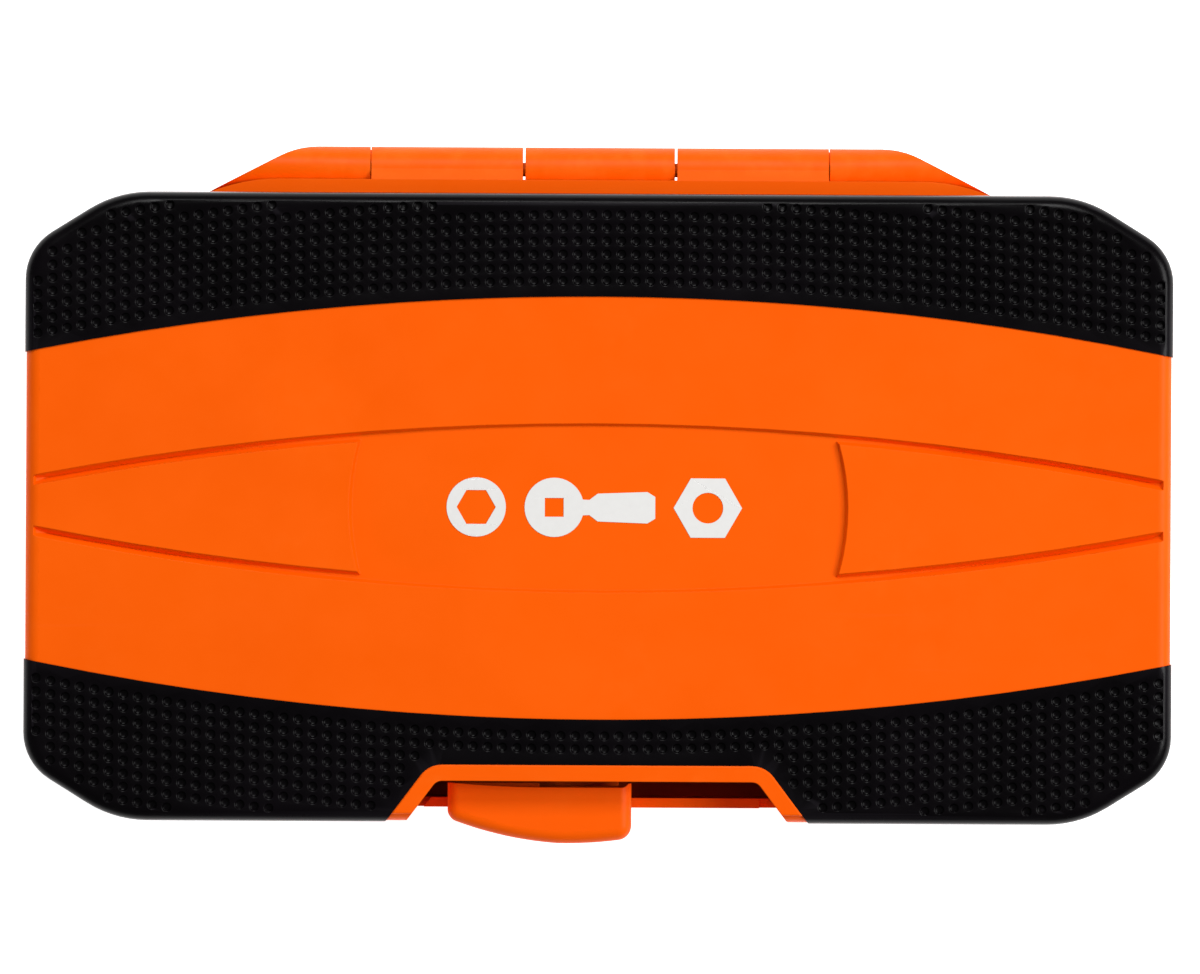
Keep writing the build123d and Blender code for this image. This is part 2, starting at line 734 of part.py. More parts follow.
def scoop_plan():
    """Plan of the shallow scoop in the slider's back edge, eased in from the left."""
    start = (SCOOP_LEFT, SLIDER_BACK_Y)
    full_left = (SCOOP_LEFT_FULL, SCOOP_Y)
    full_right = (SCOOP_RIGHT_FULL, SCOOP_Y)
    end = (SCOOP_RIGHT, SLIDER_BACK_Y)
    beyond = SLIDER_BACK_Y + 1
    with BuildSketch() as plan:
        with BuildLine():
            ThreePointArc(start, SCOOP_LEFT_EASE, full_left)
            Line(full_left, full_right)
            ThreePointArc(full_right, SCOOP_RIGHT_EASE, end)
            Polyline(end, (SCOOP_RIGHT, beyond), (SCOOP_LEFT, beyond), start)
        make_face()
    return plan.sketch


def make_latch_slider():
    """The slider: a thumb block in front of the rail, a bridge over it and a hooked leg behind."""
    bridge_low = RAIL_TOP + SLIDE_GAP
    inside = RAIL_FRONT_Y - SLIDE_GAP
    middle = (SLIDER_LEFT + SLIDER_RIGHT) / 2
    leg_left = SLIDER_LEFT + LEG_END_INSET
    leg_front = RAIL_BACK_Y + SLIDE_GAP
    leg_length = SLIDER_RIGHT - SLIDER_LEFT - 2 * LEG_END_INSET
    rib_height = RAIL_GROOVE_HIGH - RAIL_GROOVE_LOW - 2 * RIB_CLEARANCE
    left_arc, right_arc = slider_front()
    grooves = [left_arc @ share for share in LEFT_GROOVES] + [right_arc @ share for share in RIGHT_GROOVES]
    with BuildPart() as slider:
        add(make_slider_block())
        # Room for the rail and the base's wall behind the thumb block.
        with Locations((middle, inside, SLIDER_LOW - 1)):
            Box(
                CASE_LENGTH,
                CASE_DEPTH,
                bridge_low - SLIDER_LOW + 1,
                align=(Align.CENTER, Align.MIN, Align.MIN),
                mode=Mode.SUBTRACT,
            )
        # Leg behind the rail, and the hook on the left part of it.
        with Locations((middle, leg_front, LEG_LOW)):
            Box(
                leg_length,
                LEG_THICKNESS,
                bridge_low - LEG_LOW + 1,
                align=(Align.CENTER, Align.MIN, Align.MIN),
            )
        with Locations((leg_left, leg_front, HOOK_LOW)):
            Box(
                HOOK_RIGHT - leg_left,
                SLIDER_BACK_Y - leg_front,
                bridge_low - HOOK_LOW + EMBED,
                align=(Align.MIN, Align.MIN, Align.MIN),
            )
        # Rib that runs in the rail's groove and holds the slider down.
        with Locations((middle, inside - EMBED, RAIL_GROOVE_LOW + RIB_CLEARANCE)):
            Box(
                leg_length,
                EMBED + SLIDE_GAP + RAIL_GROOVE_DEPTH - RIB_CLEARANCE,
                rib_height,
                align=(Align.CENTER, Align.MIN, Align.MIN),
            )
        # Shallow scoop in the bridge's back edge, which the lid's catch rises through.
        with BuildSketch(Plane.XY.offset(bridge_low)):
            add(scoop_plan())
        extrude(amount=SLIDER_HIGH - bridge_low + 1, mode=Mode.SUBTRACT)
        # Five finger grooves down the thumb face.
        with Locations(*[(p.X, p.Y, FINGER_GROOVE_MIDDLE_Z) for p in grooves]):
            Cylinder(FINGER_GROOVE_RADIUS, FINGER_GROOVE_LENGTH, mode=Mode.SUBTRACT)
    return slider.part


# ---------------------------------------------------------------- tools


def add_ball_seat(length):
    """Cut the seat of a detent ball in a drive square that ends at `length` along Z."""
    with Locations((BALL_CENTRE, 0, length - BALL_FROM_END)):
        Sphere(BALL_RADIUS + 0.02, mode=Mode.SUBTRACT)


def make_ball(location):
    """A detent ball in its seat, in the tool's own frame and then moved to the tool's place."""
    with BuildPart() as ball:
        Sphere(BALL_RADIUS)
    return ball.part.moved(location)


def make_socket(flats, hex_end):
    """A socket standing on its drive end at the origin."""
    drive_radius = max(SOCKET_DRIVE_END, hex_end) / 2
    hex_radius = hex_end / 2
    neck_start = SOCKET_DRIVE_LENGTH
    neck_end = SOCKET_DRIVE_LENGTH + SOCKET_NECK_LENGTH
    waist = hex_radius if hex_radius < drive_radius else drive_radius - 0.5
    chamfered = SOCKET_CHAMFER
    with BuildPart() as socket:
        with BuildSketch(Plane.XZ):
            Polygon(
                (0, 0),
                (drive_radius - chamfered, 0),
                (drive_radius, chamfered),
                (drive_radius, neck_start),
                (waist, neck_end),
                (waist, neck_end + 1),
                (hex_radius, neck_end + 1.6),
                (hex_radius, SOCKET_LENGTH - chamfered),
                (hex_radius - chamfered, SOCKET_LENGTH),
                (0, SOCKET_LENGTH),
                align=None,
            )
        revolve(axis=Axis.Z)
        # Two turned rings by the drive end.
        for height in (3.2, 7.6):
            with BuildSketch(Plane.XZ):
                with Locations((drive_radius, height)):
                    Rectangle(0.5, 0.7)
            revolve(axis=Axis.Z, mode=Mode.SUBTRACT)
        with BuildSketch():
            Rectangle(DRIVE_BORE, DRIVE_BORE)
        extrude(amount=BORE_DEPTH, mode=Mode.SUBTRACT)
        with BuildSketch(Plane.XY.offset(SOCKET_LENGTH)):
            RegularPolygon((flats + HEX_FIT) / 2, 6, major_radius=False)
        extrude(amount=-HEX_DEPTH, mode=Mode.SUBTRACT)
        with BuildSketch():
            Circle(flats * SOCKET_THROUGH)
        extrude(amount=SOCKET_LENGTH, mode=Mode.SUBTRACT)
        # Lead-in at the hex mouth.
        mouth = (flats + HEX_FIT) / 2
        with BuildSketch(Plane.XY.offset(SOCKET_LENGTH)):
            Circle(mouth * 1.1)
        extrude(amount=-0.8, taper=35, mode=Mode.SUBTRACT)
    return socket.part


def make_extension(length):
    """An extension bar: female end at the origin, square at the top."""
    collar_start = length - DRIVE_LENGTH - 3
    with BuildPart() as bar:
        with BuildSketch(Plane.XZ):
            Polygon(
                (0, 0),
                (EXTENSION_END - 0.5, 0),
                (EXTENSION_END, 0.5),
                (EXTENSION_END, EXTENSION_END_LENGTH - 3),
                (EXTENSION_SHAFT, EXTENSION_END_LENGTH),
                (EXTENSION_SHAFT, collar_start - 1),
                (EXTENSION_COLLAR, collar_start),
                (EXTENSION_COLLAR, length - DRIVE_LENGTH),
                (0, length - DRIVE_LENGTH),
                align=None,
            )
        revolve(axis=Axis.Z)
        for height in (3.5, 8.0):
            with BuildSketch(Plane.XZ):
                with Locations((EXTENSION_END, height)):
                    Rectangle(0.6, 0.8)
            revolve(axis=Axis.Z, mode=Mode.SUBTRACT)
        with BuildSketch(Plane.XY.offset(length - DRIVE_LENGTH - 1)):
            Rectangle(DRIVE_SIZE, DRIVE_SIZE)
        extrude(amount=DRIVE_LENGTH + 1)
        chamfer(bar.faces().sort_by(Axis.Z)[-1].edges(), DRIVE_CHAMFER)
        with BuildSketch():
            Rectangle(DRIVE_BORE, DRIVE_BORE)
        extrude(amount=BORE_DEPTH, mode=Mode.SUBTRACT)
        add_ball_seat(length)
    return bar.part


def make_adaptor():
    """Bit adaptor: square bore at the origin, hex bore at the far end."""
    with BuildPart() as adaptor:
        with BuildSketch(Plane.XZ):
            Polygon(
                (0, 0),
                (ADAPTOR_RADIUS - 0.5, 0),
                (ADAPTOR_RADIUS, 0.5),
                (ADAPTOR_RADIUS, 11),
                (ADAPTOR_RADIUS - 0.8, 12),
                (ADAPTOR_RADIUS - 0.8, ADAPTOR_LENGTH - 0.5),
                (ADAPTOR_RADIUS - 1.3, ADAPTOR_LENGTH),
                (0, ADAPTOR_LENGTH),
                align=None,
            )
        revolve(axis=Axis.Z)
        with BuildSketch():
            Rectangle(DRIVE_BORE, DRIVE_BORE)
        extrude(amount=BORE_DEPTH, mode=Mode.SUBTRACT)
        with BuildSketch(Plane.XY.offset(ADAPTOR_LENGTH)):
            RegularPolygon(BIT_HOLE_FLATS / 2, 6, major_radius=False)
        extrude(amount=-ADAPTOR_HEX_DEPTH, mode=Mode.SUBTRACT)
        with BuildSketch(Plane.XY.offset(ADAPTOR_LENGTH - ADAPTOR_HEX_DEPTH)):
            Circle(MAGNET_RADIUS)
        extrude(amount=-MAGNET_THICKNESS, mode=Mode.SUBTRACT)
    return adaptor.part


def make_magnet():
    """Disc magnet at the bottom of the adaptor's hex bore."""
    with BuildPart() as magnet:
        with BuildSketch(Plane.XY.offset(ADAPTOR_LENGTH - ADAPTOR_HEX_DEPTH)):
            Circle(MAGNET_RADIUS)
        extrude(amount=-MAGNET_THICKNESS)
    return magnet.part


def make_ears():
    """A yoke's two ears, rounded over the cross, inside the joint's round outline."""
    with BuildPart() as ears:
        with BuildSketch(Plane.XZ):
            Circle(EAR_HALF)
            Rectangle(2 * EAR_HALF, YOKE_FACE + 0.5, align=(Align.CENTER, Align.MAX))
        extrude(amount=JOINT_RADIUS, both=True)
        with BuildSketch(Plane.XY.offset(-YOKE_FACE - 1)):
            Circle(JOINT_RADIUS)
        extrude(amount=2 * YOKE_FACE, mode=Mode.INTERSECT)
        with BuildSketch(Plane.XY.offset(-YOKE_FACE)):
            Rectangle(4 * EAR_HALF, 2 * EAR_INNER)
        extrude(amount=2 * YOKE_FACE, mode=Mode.SUBTRACT)
    return ears.part


def make_yoke(square):
    """One yoke of the universal joint, its ears round the origin, its body towards -Z."""
    with BuildPart() as yoke:
        if square:
            with BuildSketch(Plane.XY.offset(-YOKE_FACE - 3.5)):
                Circle(JOINT_RADIUS)
            extrude(amount=3.5)
            with BuildSketch(Plane.XY.offset(-YOKE_FACE - 3)):
                Rectangle(DRIVE_SIZE, DRIVE_SIZE)
            extrude(amount=-(JOINT_HALF - YOKE_FACE - 3))
            chamfer(yoke.faces().sort_by(Axis.Z)[0].edges(), DRIVE_CHAMFER)
            with Locations((BALL_CENTRE, 0, BALL_FROM_END - JOINT_HALF)):
                Sphere(BALL_RADIUS + 0.02, mode=Mode.SUBTRACT)
        else:
            with BuildSketch(Plane.XY.offset(-JOINT_HALF)):
                Circle(JOINT_RADIUS)
            extrude(amount=JOINT_HALF - YOKE_FACE)
            chamfer(yoke.faces().sort_by(Axis.Z)[0].edges(), DRIVE_CHAMFER)
            with BuildSketch(Plane.XY.offset(-JOINT_HALF)):
                Rectangle(DRIVE_BORE, DRIVE_BORE)
            extrude(amount=BORE_DEPTH, mode=Mode.SUBTRACT)
        add(make_ears())
        with BuildSketch(Plane.XZ):
            Circle(CROSS_PIN + CROSS_PIN_GAP)
        extrude(amount=JOINT_RADIUS, both=True, mode=Mode.SUBTRACT)
    return yoke.part


def make_cross():
    """Centre block of the universal joint, drilled for both pins."""
    with BuildPart() as cross:
        Box(2 * CROSS_HALF - 0.8, 2 * CROSS_HALF, 2 * CROSS_HALF)
        fillet(cross.edges(), 0.6)
        for plane in (Plane.XY, Plane.XZ):
            with BuildSketch(plane):
                Circle(CROSS_PIN)
            extrude(amount=CROSS_HALF, both=True, mode=Mode.SUBTRACT)
    return cross.part


def make_cross_pins():
    """The joint's two crossed pins, in one piece where they meet in the middle."""
    with BuildPart() as pins:
        for plane in (Plane.XY, Plane.XZ):
            with BuildSketch(plane):
                Circle(CROSS_PIN)
            extrude(amount=CROSS_PIN_REACH, both=True)
    return pins.part


def make_tbar_rod():
    """T-bar rod along X, with a detent groove at the middle and near each end."""
    with BuildPart() as rod:
        with BuildSketch(Plane.YZ.offset(TBAR_X - TBAR_LENGTH / 2)):
            with Locations((TBAR_Y, TBAR_Z)):
                Circle(TBAR_RADIUS)
        extrude(amount=TBAR_LENGTH)
        chamfer(rod.faces().sort_by(Axis.X)[0].edges(), 0.6)
        chamfer(rod.faces().sort_by(Axis.X)[-1].edges(), 0.6)
        for shift in (-TBAR_TRAVEL, 0, TBAR_TRAVEL):
            with BuildSketch(Plane.YZ.offset(TBAR_X + shift - 0.7)):
                with Locations((TBAR_Y, TBAR_Z)):
                    Circle(TBAR_RADIUS + 0.1)
                    Circle(TBAR_RADIUS - 0.3, mode=Mode.SUBTRACT)
            extrude(amount=1.4, mode=Mode.SUBTRACT)
    return rod.part


def make_tbar_slider():
    """Sliding head of the T-bar, its square pointing down."""
    low = TBAR_Z - TBAR_BLOCK_HALF
    with BuildPart() as block:
        with BuildSketch(Plane.XY.offset(low)):
            with Locations((TBAR_X, TBAR_Y)):
                Circle(TBAR_BLOCK)
        extrude(amount=2 * TBAR_BLOCK_HALF)
        fillet(block.faces().sort_by(Axis.Z)[-1].edges(), 1.2)
        with BuildSketch(Plane.XY.offset(TBAR_SQUARE_END)):
            with Locations((TBAR_X, TBAR_Y)):
                Rectangle(DRIVE_SIZE, DRIVE_SIZE)
        extrude(amount=low + 1 - TBAR_SQUARE_END)
        chamfer(block.faces().sort_by(Axis.Z)[0].edges(), DRIVE_CHAMFER)
        with BuildSketch(Plane.YZ.offset(TBAR_X - 2 * TBAR_BLOCK)):
            with Locations((TBAR_Y, TBAR_Z)):
                Circle(TBAR_BORE)
        extrude(amount=4 * TBAR_BLOCK, mode=Mode.SUBTRACT)
        with BuildSketch(Plane.YZ.offset(TBAR_X + BALL_CENTRE - BALL_RADIUS)):
            with Locations((TBAR_Y, TBAR_SQUARE_END + BALL_FROM_END)):
                Circle(BALL_RADIUS + 0.03)
        extrude(amount=2 * BALL_RADIUS, mode=Mode.SUBTRACT)
    return block.part


# ---------------------------------------------------------------- ratchet


def head_low():
    """Height of the underside of the ratchet's head."""
    return RATCHET_Z - HEAD_THICKNESS / 2


def make_ratchet_body():
    """Forged head, neck and tang, hollowed for the gear, the pawl and its spring."""
    top = RATCHET_Z + HEAD_THICKNESS / 2
    with BuildPart() as body:
        with BuildSketch(Plane.XY.offset(head_low())):
            add(pear(HEAD_RADIUS, HEAD_TAIL_X, HEAD_TAIL_RADIUS))
        extrude(amount=HEAD_THICKNESS)
        fillet(body.faces().sort_by(Axis.Z)[-1].edges(), 0.8)
        fillet(body.faces().sort_by(Axis.Z)[0].edges(), 0.8)
        # Neck, narrowing and thinning to the tang.
        with BuildSketch(Plane.YZ.offset(HEAD_TAIL_X + 4)):
            with Locations((0, RATCHET_Z)):
                RectangleRounded(14, 8.6, 2)
        with BuildSketch(Plane.YZ.offset(HEAD_TAIL_X + 16)):
            with Locations((0, RATCHET_Z)):
                RectangleRounded(9, 7.6, 2)
        with BuildSketch(Plane.YZ.offset(NECK_END_X)):
            with Locations((0, RATCHET_Z)):
                RectangleRounded(8.4, 7.2, 2)
        loft()
        with Locations(((NECK_END_X + TANG_END_X) / 2, 0, RATCHET_Z)):
            Box(TANG_END_X - NECK_END_X + 0.4, 7.0, 5.6)
        # Gear cavity, journal hole and pawl pocket.
        with BuildSketch(Plane.XY.offset(CAVITY_LOW)):
            Circle(GEAR_CAVITY)
            Rectangle(PAWL_POCKET_END, 2 * PAWL_POCKET_HALF, align=(Align.MIN, Align.CENTER))
        extrude(amount=top - CAVITY_LOW, mode=Mode.SUBTRACT)
        with BuildSketch(Plane.XY.offset(head_low() - 1)):
            Circle(JOURNAL_RADIUS + JOURNAL_GAP)
        extrude(amount=CAVITY_LOW - head_low() + 2, mode=Mode.SUBTRACT)
        # Recess for the cover.
        with BuildSketch(Plane.XY.offset(top - COVER_THICKNESS)):
            add(pear(COVER_RADIUS, COVER_TAIL_X, COVER_TAIL_RADIUS))
        extrude(amount=COVER_THICKNESS + 1, mode=Mode.SUBTRACT)
        # Hole for the pawl's spring.
        with BuildSketch(Plane.YZ.offset(PAWL_POCKET_END - 1)):
            with Locations((0, RATCHET_Z + 0.5)):
                Circle(PLUNGER_RADIUS + 0.1)
        extrude(amount=6, mode=Mode.SUBTRACT)
        for side in (-1, 1):
            with Locations((SCREW_X, side * SCREW_Y, head_low() + 3)):
                Cylinder(
                    SCREW_SHANK,
                    HEAD_THICKNESS,
                    align=(Align.CENTER, Align.CENTER, Align.MIN),
                    mode=Mode.SUBTRACT,
                )
    return body.part


def make_ratchet_grip():
    """Soft grip sleeve over the tang, waisted at the front and bulging behind."""
    stations = (
        (GRIP_START_X, 5.6, 5.2),
        (GRIP_START_X + 5, 7.0, 6.2),
        (GRIP_START_X + 22, 6.4, 5.9),
        (GRIP_START_X + 52, 7.8, 6.6),
        (HANDLE_END_X - 10, 7.4, 6.4),
        (HANDLE_END_X - 2, 6.8, 5.9),
        (HANDLE_END_X, 5.4, 4.8),
    )
    with BuildPart() as grip:
        for x, half_width, half_height in stations:
            with BuildSketch(Plane.YZ.offset(x)):
                with Locations((0, RATCHET_Z)):
                    Ellipse(half_width, half_height)
        loft()
        add(make_tang_space(), mode=Mode.SUBTRACT)
    return grip.part


def make_tang_space():
    """The neck and tang where the grip sleeve covers them."""
    with BuildPart() as space:
        with Locations(((NECK_END_X + TANG_END_X) / 2, 0, RATCHET_Z)):
            Box(TANG_END_X - NECK_END_X + 0.4, 7.0, 5.6)
        with BuildSketch(Plane.YZ.offset(GRIP_START_X - 1)):
            with Locations((0, RATCHET_Z)):
                RectangleRounded(8.6, 7.4, 2)
        extrude(amount=NECK_END_X - GRIP_START_X + 1)
    return space.part


def make_ratchet_cover():
    """Cover plate, with holes for the gear's boss, the lever's shaft and two screws."""
    top = RATCHET_Z + HEAD_THICKNESS / 2
    with BuildPart() as cover:
        with BuildSketch(Plane.XY.offset(top - COVER_THICKNESS)):
            add(pear(COVER_RADIUS - 0.05, COVER_TAIL_X, COVER_TAIL_RADIUS - 0.05))
            Circle(BOSS_RADIUS + JOURNAL_GAP, mode=Mode.SUBTRACT)
            with Locations((LEVER_X, 0)):
                Circle(LEVER_SHAFT + JOURNAL_GAP, mode=Mode.SUBTRACT)
            with Locations((SCREW_X, -SCREW_Y), (SCREW_X, SCREW_Y)):
                Circle(SCREW_HEAD, mode=Mode.SUBTRACT)
        extrude(amount=COVER_THICKNESS)
    return cover.part


def make_cover_screws():
    """Two flush cover screws with a slot."""
    top = RATCHET_Z + HEAD_THICKNESS / 2
    with BuildPart() as screws:
        for side in (-1, 1):
            with Locations((SCREW_X, side * SCREW_Y, top)):
                Cylinder(SCREW_HEAD, COVER_THICKNESS, align=(Align.CENTER, Align.CENTER, Align.MAX))
                Cylinder(SCREW_SHANK, COVER_THICKNESS + 4, align=(Align.CENTER, Align.CENTER, Align.MAX))
                Box(4, 0.45, 0.8, align=(Align.CENTER, Align.CENTER, Align.CENTER), mode=Mode.SUBTRACT)
    return screws.part


def make_drive_gear():
    """Ratchet wheel with its journal, drive square and boss, bored for the release button."""
    top = RATCHET_Z + HEAD_THICKNESS / 2
    points = []
    for n in range(2 * GEAR_TEETH):
        radius = GEAR_TIP if n % 2 else GEAR_ROOT
        angle = math.pi * n / GEAR_TEETH
        points.append((radius * math.cos(angle), radius * math.sin(angle)))
    with BuildPart() as gear:
        with BuildSketch(Plane.XY.offset(GEAR_LOW)):
            Polygon(*points, align=None)
        extrude(amount=GEAR_HIGH - GEAR_LOW)
        with BuildSketch(Plane.XY.offset(head_low() - 0.2)):
            Circle(JOURNAL_RADIUS)
        extrude(amount=GEAR_LOW - head_low() + 0.2)
        with BuildSketch(Plane.XY.offset(GEAR_HIGH)):
            Circle(BOSS_RADIUS)
        extrude(amount=top - GEAR_HIGH)
        with BuildSketch(Plane.XY.offset(ANVIL_LOW)):
            Rectangle(DRIVE_SIZE, DRIVE_SIZE)
        extrude(amount=head_low() - ANVIL_LOW)
        chamfer(gear.faces().sort_by(Axis.Z)[0].edges(), DRIVE_CHAMFER)
        with BuildSketch(Plane.XY.offset(WELL_FLOOR)):
            Circle(BUTTON_RADIUS + BUTTON_GAP)
        extrude(amount=top - WELL_FLOOR + 1, mode=Mode.SUBTRACT)
        with BuildSketch(Plane.XY.offset(ANVIL_LOW + 1)):
            Circle(BUTTON_STEM + BUTTON_GAP)
        extrude(amount=top - ANVIL_LOW, mode=Mode.SUBTRACT)
        with BuildSketch(Plane.YZ.offset(0)):
            with Locations((0, ANVIL_LOW + BALL_FROM_END)):
                Circle(BALL_RADIUS + 0.03)
        extrude(amount=DRIVE_SIZE, mode=Mode.SUBTRACT)
    return gear.part


def make_release_button():
    """Quick-release button with the stem that backs the ball."""
    with BuildPart() as button:
        with BuildSketch(Plane.XY.offset(BUTTON_LOW)):
            Circle(BUTTON_RADIUS)
        extrude(amount=BUTTON_TOP - BUTTON_LOW)
        fillet(button.faces().sort_by(Axis.Z)[-1].edges(), 0.6)
        with BuildSketch(Plane.XY.offset(ANVIL_LOW + 2.4)):
            Circle(BUTTON_STEM)
        extrude(amount=BUTTON_LOW - ANVIL_LOW - 2.4)
    return button.part


def make_coil(radius, wire, height, turns):
    """A closed-length coil spring standing on the origin."""
    with BuildPart() as coil:
        with BuildLine():
            path = Helix(height / turns, height, radius)
        start = Plane(origin=path @ 0, z_dir=path % 0)
        with BuildSketch(start):
            Circle(wire)
        sweep(is_frenet=True)
    return coil.part


def make_pawl():
    """Two-ended pawl, turning on the lever's shaft beside the gear."""
    with BuildPart() as pawl:
        with BuildSketch(Plane.XY.offset(PAWL_LOW)):
            with Locations((LEVER_X, 0)):
                Circle(PAWL_RADIUS)
            Polygon(
                (LEVER_X + 1.4, PAWL_RADIUS - 0.3),
                (7.6, 5.4),
                (6.2, 5.0),
                (6.2, -5.0),
                (7.6, -5.4),
                (LEVER_X + 1.4, -PAWL_RADIUS + 0.3),
                align=None,
            )
            Circle(GEAR_TIP + PAWL_GEAR_GAP, mode=Mode.SUBTRACT)
            with Locations((LEVER_X, 0)):
                Circle(LEVER_SHAFT + JOURNAL_GAP, mode=Mode.SUBTRACT)
        extrude(amount=PAWL_HIGH - PAWL_LOW)
    return pawl.part


def make_plunger():
    """Ball that the spring presses on the pawl's tail."""
    with BuildPart() as plunger:
        with Locations((LEVER_X + PAWL_RADIUS + PLUNGER_RADIUS + 0.08, 0, RATCHET_Z + 0.5)):
            Sphere(PLUNGER_RADIUS)
    return plunger.part


def make_reversing_lever():
    """Disc with a thumb tab, and the shaft that carries the pawl."""
    with BuildPart() as lever:
        with BuildSketch(Plane.XY.offset(LEVER_LOW)) as plan:
            with Locations((LEVER_X, 0)):
                Circle(LEVER_DISC)
            Polygon(
                (LEVER_X, LEVER_DISC - 0.6),
                (LEVER_X + LEVER_TAB_END, 2.0),
                (LEVER_X + LEVER_TAB_END, -2.0),
                (LEVER_X, -LEVER_DISC + 0.6),
                align=None,
            )
        extrude(amount=LEVER_HIGH - LEVER_LOW)
        fillet(lever.faces().sort_by(Axis.Z)[-1].edges(), 0.5)
        for shift in (6.2, 7.4, 8.6):
            with Locations((LEVER_X + shift, 0, LEVER_HIGH)):
                Box(0.5, 3.0, 0.5, mode=Mode.SUBTRACT)
        with BuildSketch(Plane.XY.offset(PAWL_LOW - 0.3)):
            with Locations((LEVER_X, 0)):
                Circle(LEVER_SHAFT)
        extrude(amount=LEVER_LOW - PAWL_LOW + 0.4)
    return lever.part


# ---------------------------------------------------------------- bits


def bit_places():
    """Centre of every bit, column by column."""
    places = []
    for column in range(4):
        for row in range(3):
            x = RACK_X + (column - 1.5) * BIT_PITCH_X
            y = RACK_Y + (row - 1) * BIT_PITCH_Y
            places.append((column, row, x, y))
    return places


def make_bits(kind):
    """Three bits of one kind, in one column of the rack, tips up."""
    tip_start = BIT_LOW + BIT_BODY
    tip_end = BIT_LOW + BIT_LENGTH
    with BuildPart() as bits:
        for column, row, x, y in bit_places():
            if column != kind:
                continue
            with BuildSketch(Plane.XY.offset(BIT_LOW)):
                with Locations((x, y)):
                    RegularPolygon(BIT_FLATS / 2, 6, major_radius=False, rotation=30)
            extrude(amount=BIT_BODY)
            shank = BIT_SHANK - 0.25 * row
            with BuildSketch(Plane.XY.offset(tip_start)):
                with Locations((x, y)):
                    Circle(BIT_FLATS / 2)
            with BuildSketch(Plane.XY.offset(tip_start + 3)):
                with Locations((x, y)):
                    Circle(shank)
            loft()
            if kind == 0:
                with BuildSketch(Plane.XY.offset(tip_start + 3)):
                    with Locations((x, y)):
                        Circle(shank)
                extrude(amount=tip_end - tip_start - 3)
                for side in (-1, 1):
                    with BuildSketch(Plane.XZ.offset(-y)):
                        Polygon(
                            (x + side * 0.4, tip_end + 1),
                            (x + side * 0.4, tip_end),
                            (x + side * (shank + 0.2), tip_end - 6),
                            (x + side * (shank + 0.2), tip_end + 1),
                            align=None,
                        )
                    extrude(amount=2 * shank, both=True, mode=Mode.SUBTRACT)
            elif kind == 1:
                with BuildSketch(Plane.XY.offset(tip_start + 3)):
                    with Locations((x, y)):
                        Circle(shank)
                extrude(amount=tip_end - tip_start - 6)
                with BuildSketch(Plane.XY.offset(tip_end - 3)):
                    with Locations((x, y)):
                        Circle(shank)
                extrude(amount=3, taper=28)
                for turn in (45, 135, 225, 315):
                    dx = math.cos(math.radians(turn))
                    dy = math.sin(math.radians(turn))
                    with Locations((x + dx * (shank + 0.35), y + dy * (shank + 0.35), tip_end - 3)):
                        Cylinder(1.5, 8.4, mode=Mode.SUBTRACT)
            elif kind == 2:
                with BuildSketch(Plane.XY.offset(tip_start + 3)):
                    with Locations((x, y)):
                        RegularPolygon(shank * 0.92, 6)
                extrude(amount=tip_end - tip_start - 3)
            else:
                with BuildSketch(Plane.XY.offset(tip_start + 3)):
                    with Locations((x, y)):
                        Circle(shank * 0.86)
                    for n in range(6):
                        dx = math.cos(math.radians(60 * n)) * shank * 1.02
                        dy = math.sin(math.radians(60 * n)) * shank * 1.02
                        with Locations((x + dx, y + dy)):
                            Circle(shank * 0.28, mode=Mode.SUBTRACT)
                extrude(amount=tip_end - tip_start - 3)
    return bits.part


def make_bit_rack():
    """Rack with twelve hexagonal holes."""
    with BuildPart() as rack:
        with BuildSketch(Plane.XY.offset(RACK_LOW)):
            with Locations((RACK_X, RACK_Y)):
                RectangleRounded(RACK_WIDTH, RACK_DEPTH, 2)
        extrude(amount=RACK_TOP - RACK_LOW)
        chamfer(rack.faces().sort_by(Axis.Z)[-1].edges(), 0.6)
        with BuildSketch(Plane.XY.offset(BIT_LOW)):
            for column, row, x, y in bit_places():
                with Locations((x, y)):
                    RegularPolygon(BIT_HOLE_FLATS / 2, 6, major_radius=False, rotation=30)
        extrude(amount=RACK_TOP, mode=Mode.SUBTRACT)
    return rack.part


# ---------------------------------------------------------------- tray


def socket_places():
    """Size, outside diameters and X of every socket, side by side across the tray."""
    widths = [max(SOCKET_DRIVE_END, hex_end) for name, flats, hex_end in SOCKETS]
    total = sum(widths) + SOCKET_GAP * (len(widths) - 1)
    x = -total / 2
    places = []
    for (name, flats, hex_end), width in zip(SOCKETS, widths):
        places.append((name, flats, hex_end, width, x + width / 2))
        x += width + SOCKET_GAP
    return places


def trough(x0, x1, y0, y1, floor):
    """A box-shaped pocket, open above `floor`."""
    with BuildPart() as pocket:
        with Locations(((x0 + x1) / 2, (y0 + y1) / 2, floor)):
            Box(x1 - x0, y1 - y0, BASE_HEIGHT, align=(Align.CENTER, Align.CENTER, Align.MIN))
    return pocket.part


def round_pocket(start, length, y, z, radius):
    """A round-bottomed pocket along X, with a little room past each end."""
    with BuildPart() as pocket:
        with BuildSketch(Plane.YZ.offset(start - POCKET_END_GAP)):
            with Locations((y, z)):
                Circle(radius + POCKET_GAP)
                Rectangle(2 * (radius + POCKET_GAP), BASE_HEIGHT, align=(Align.CENTER, Align.MIN))
        extrude(amount=length + 2 * POCKET_END_GAP)
    return pocket.part


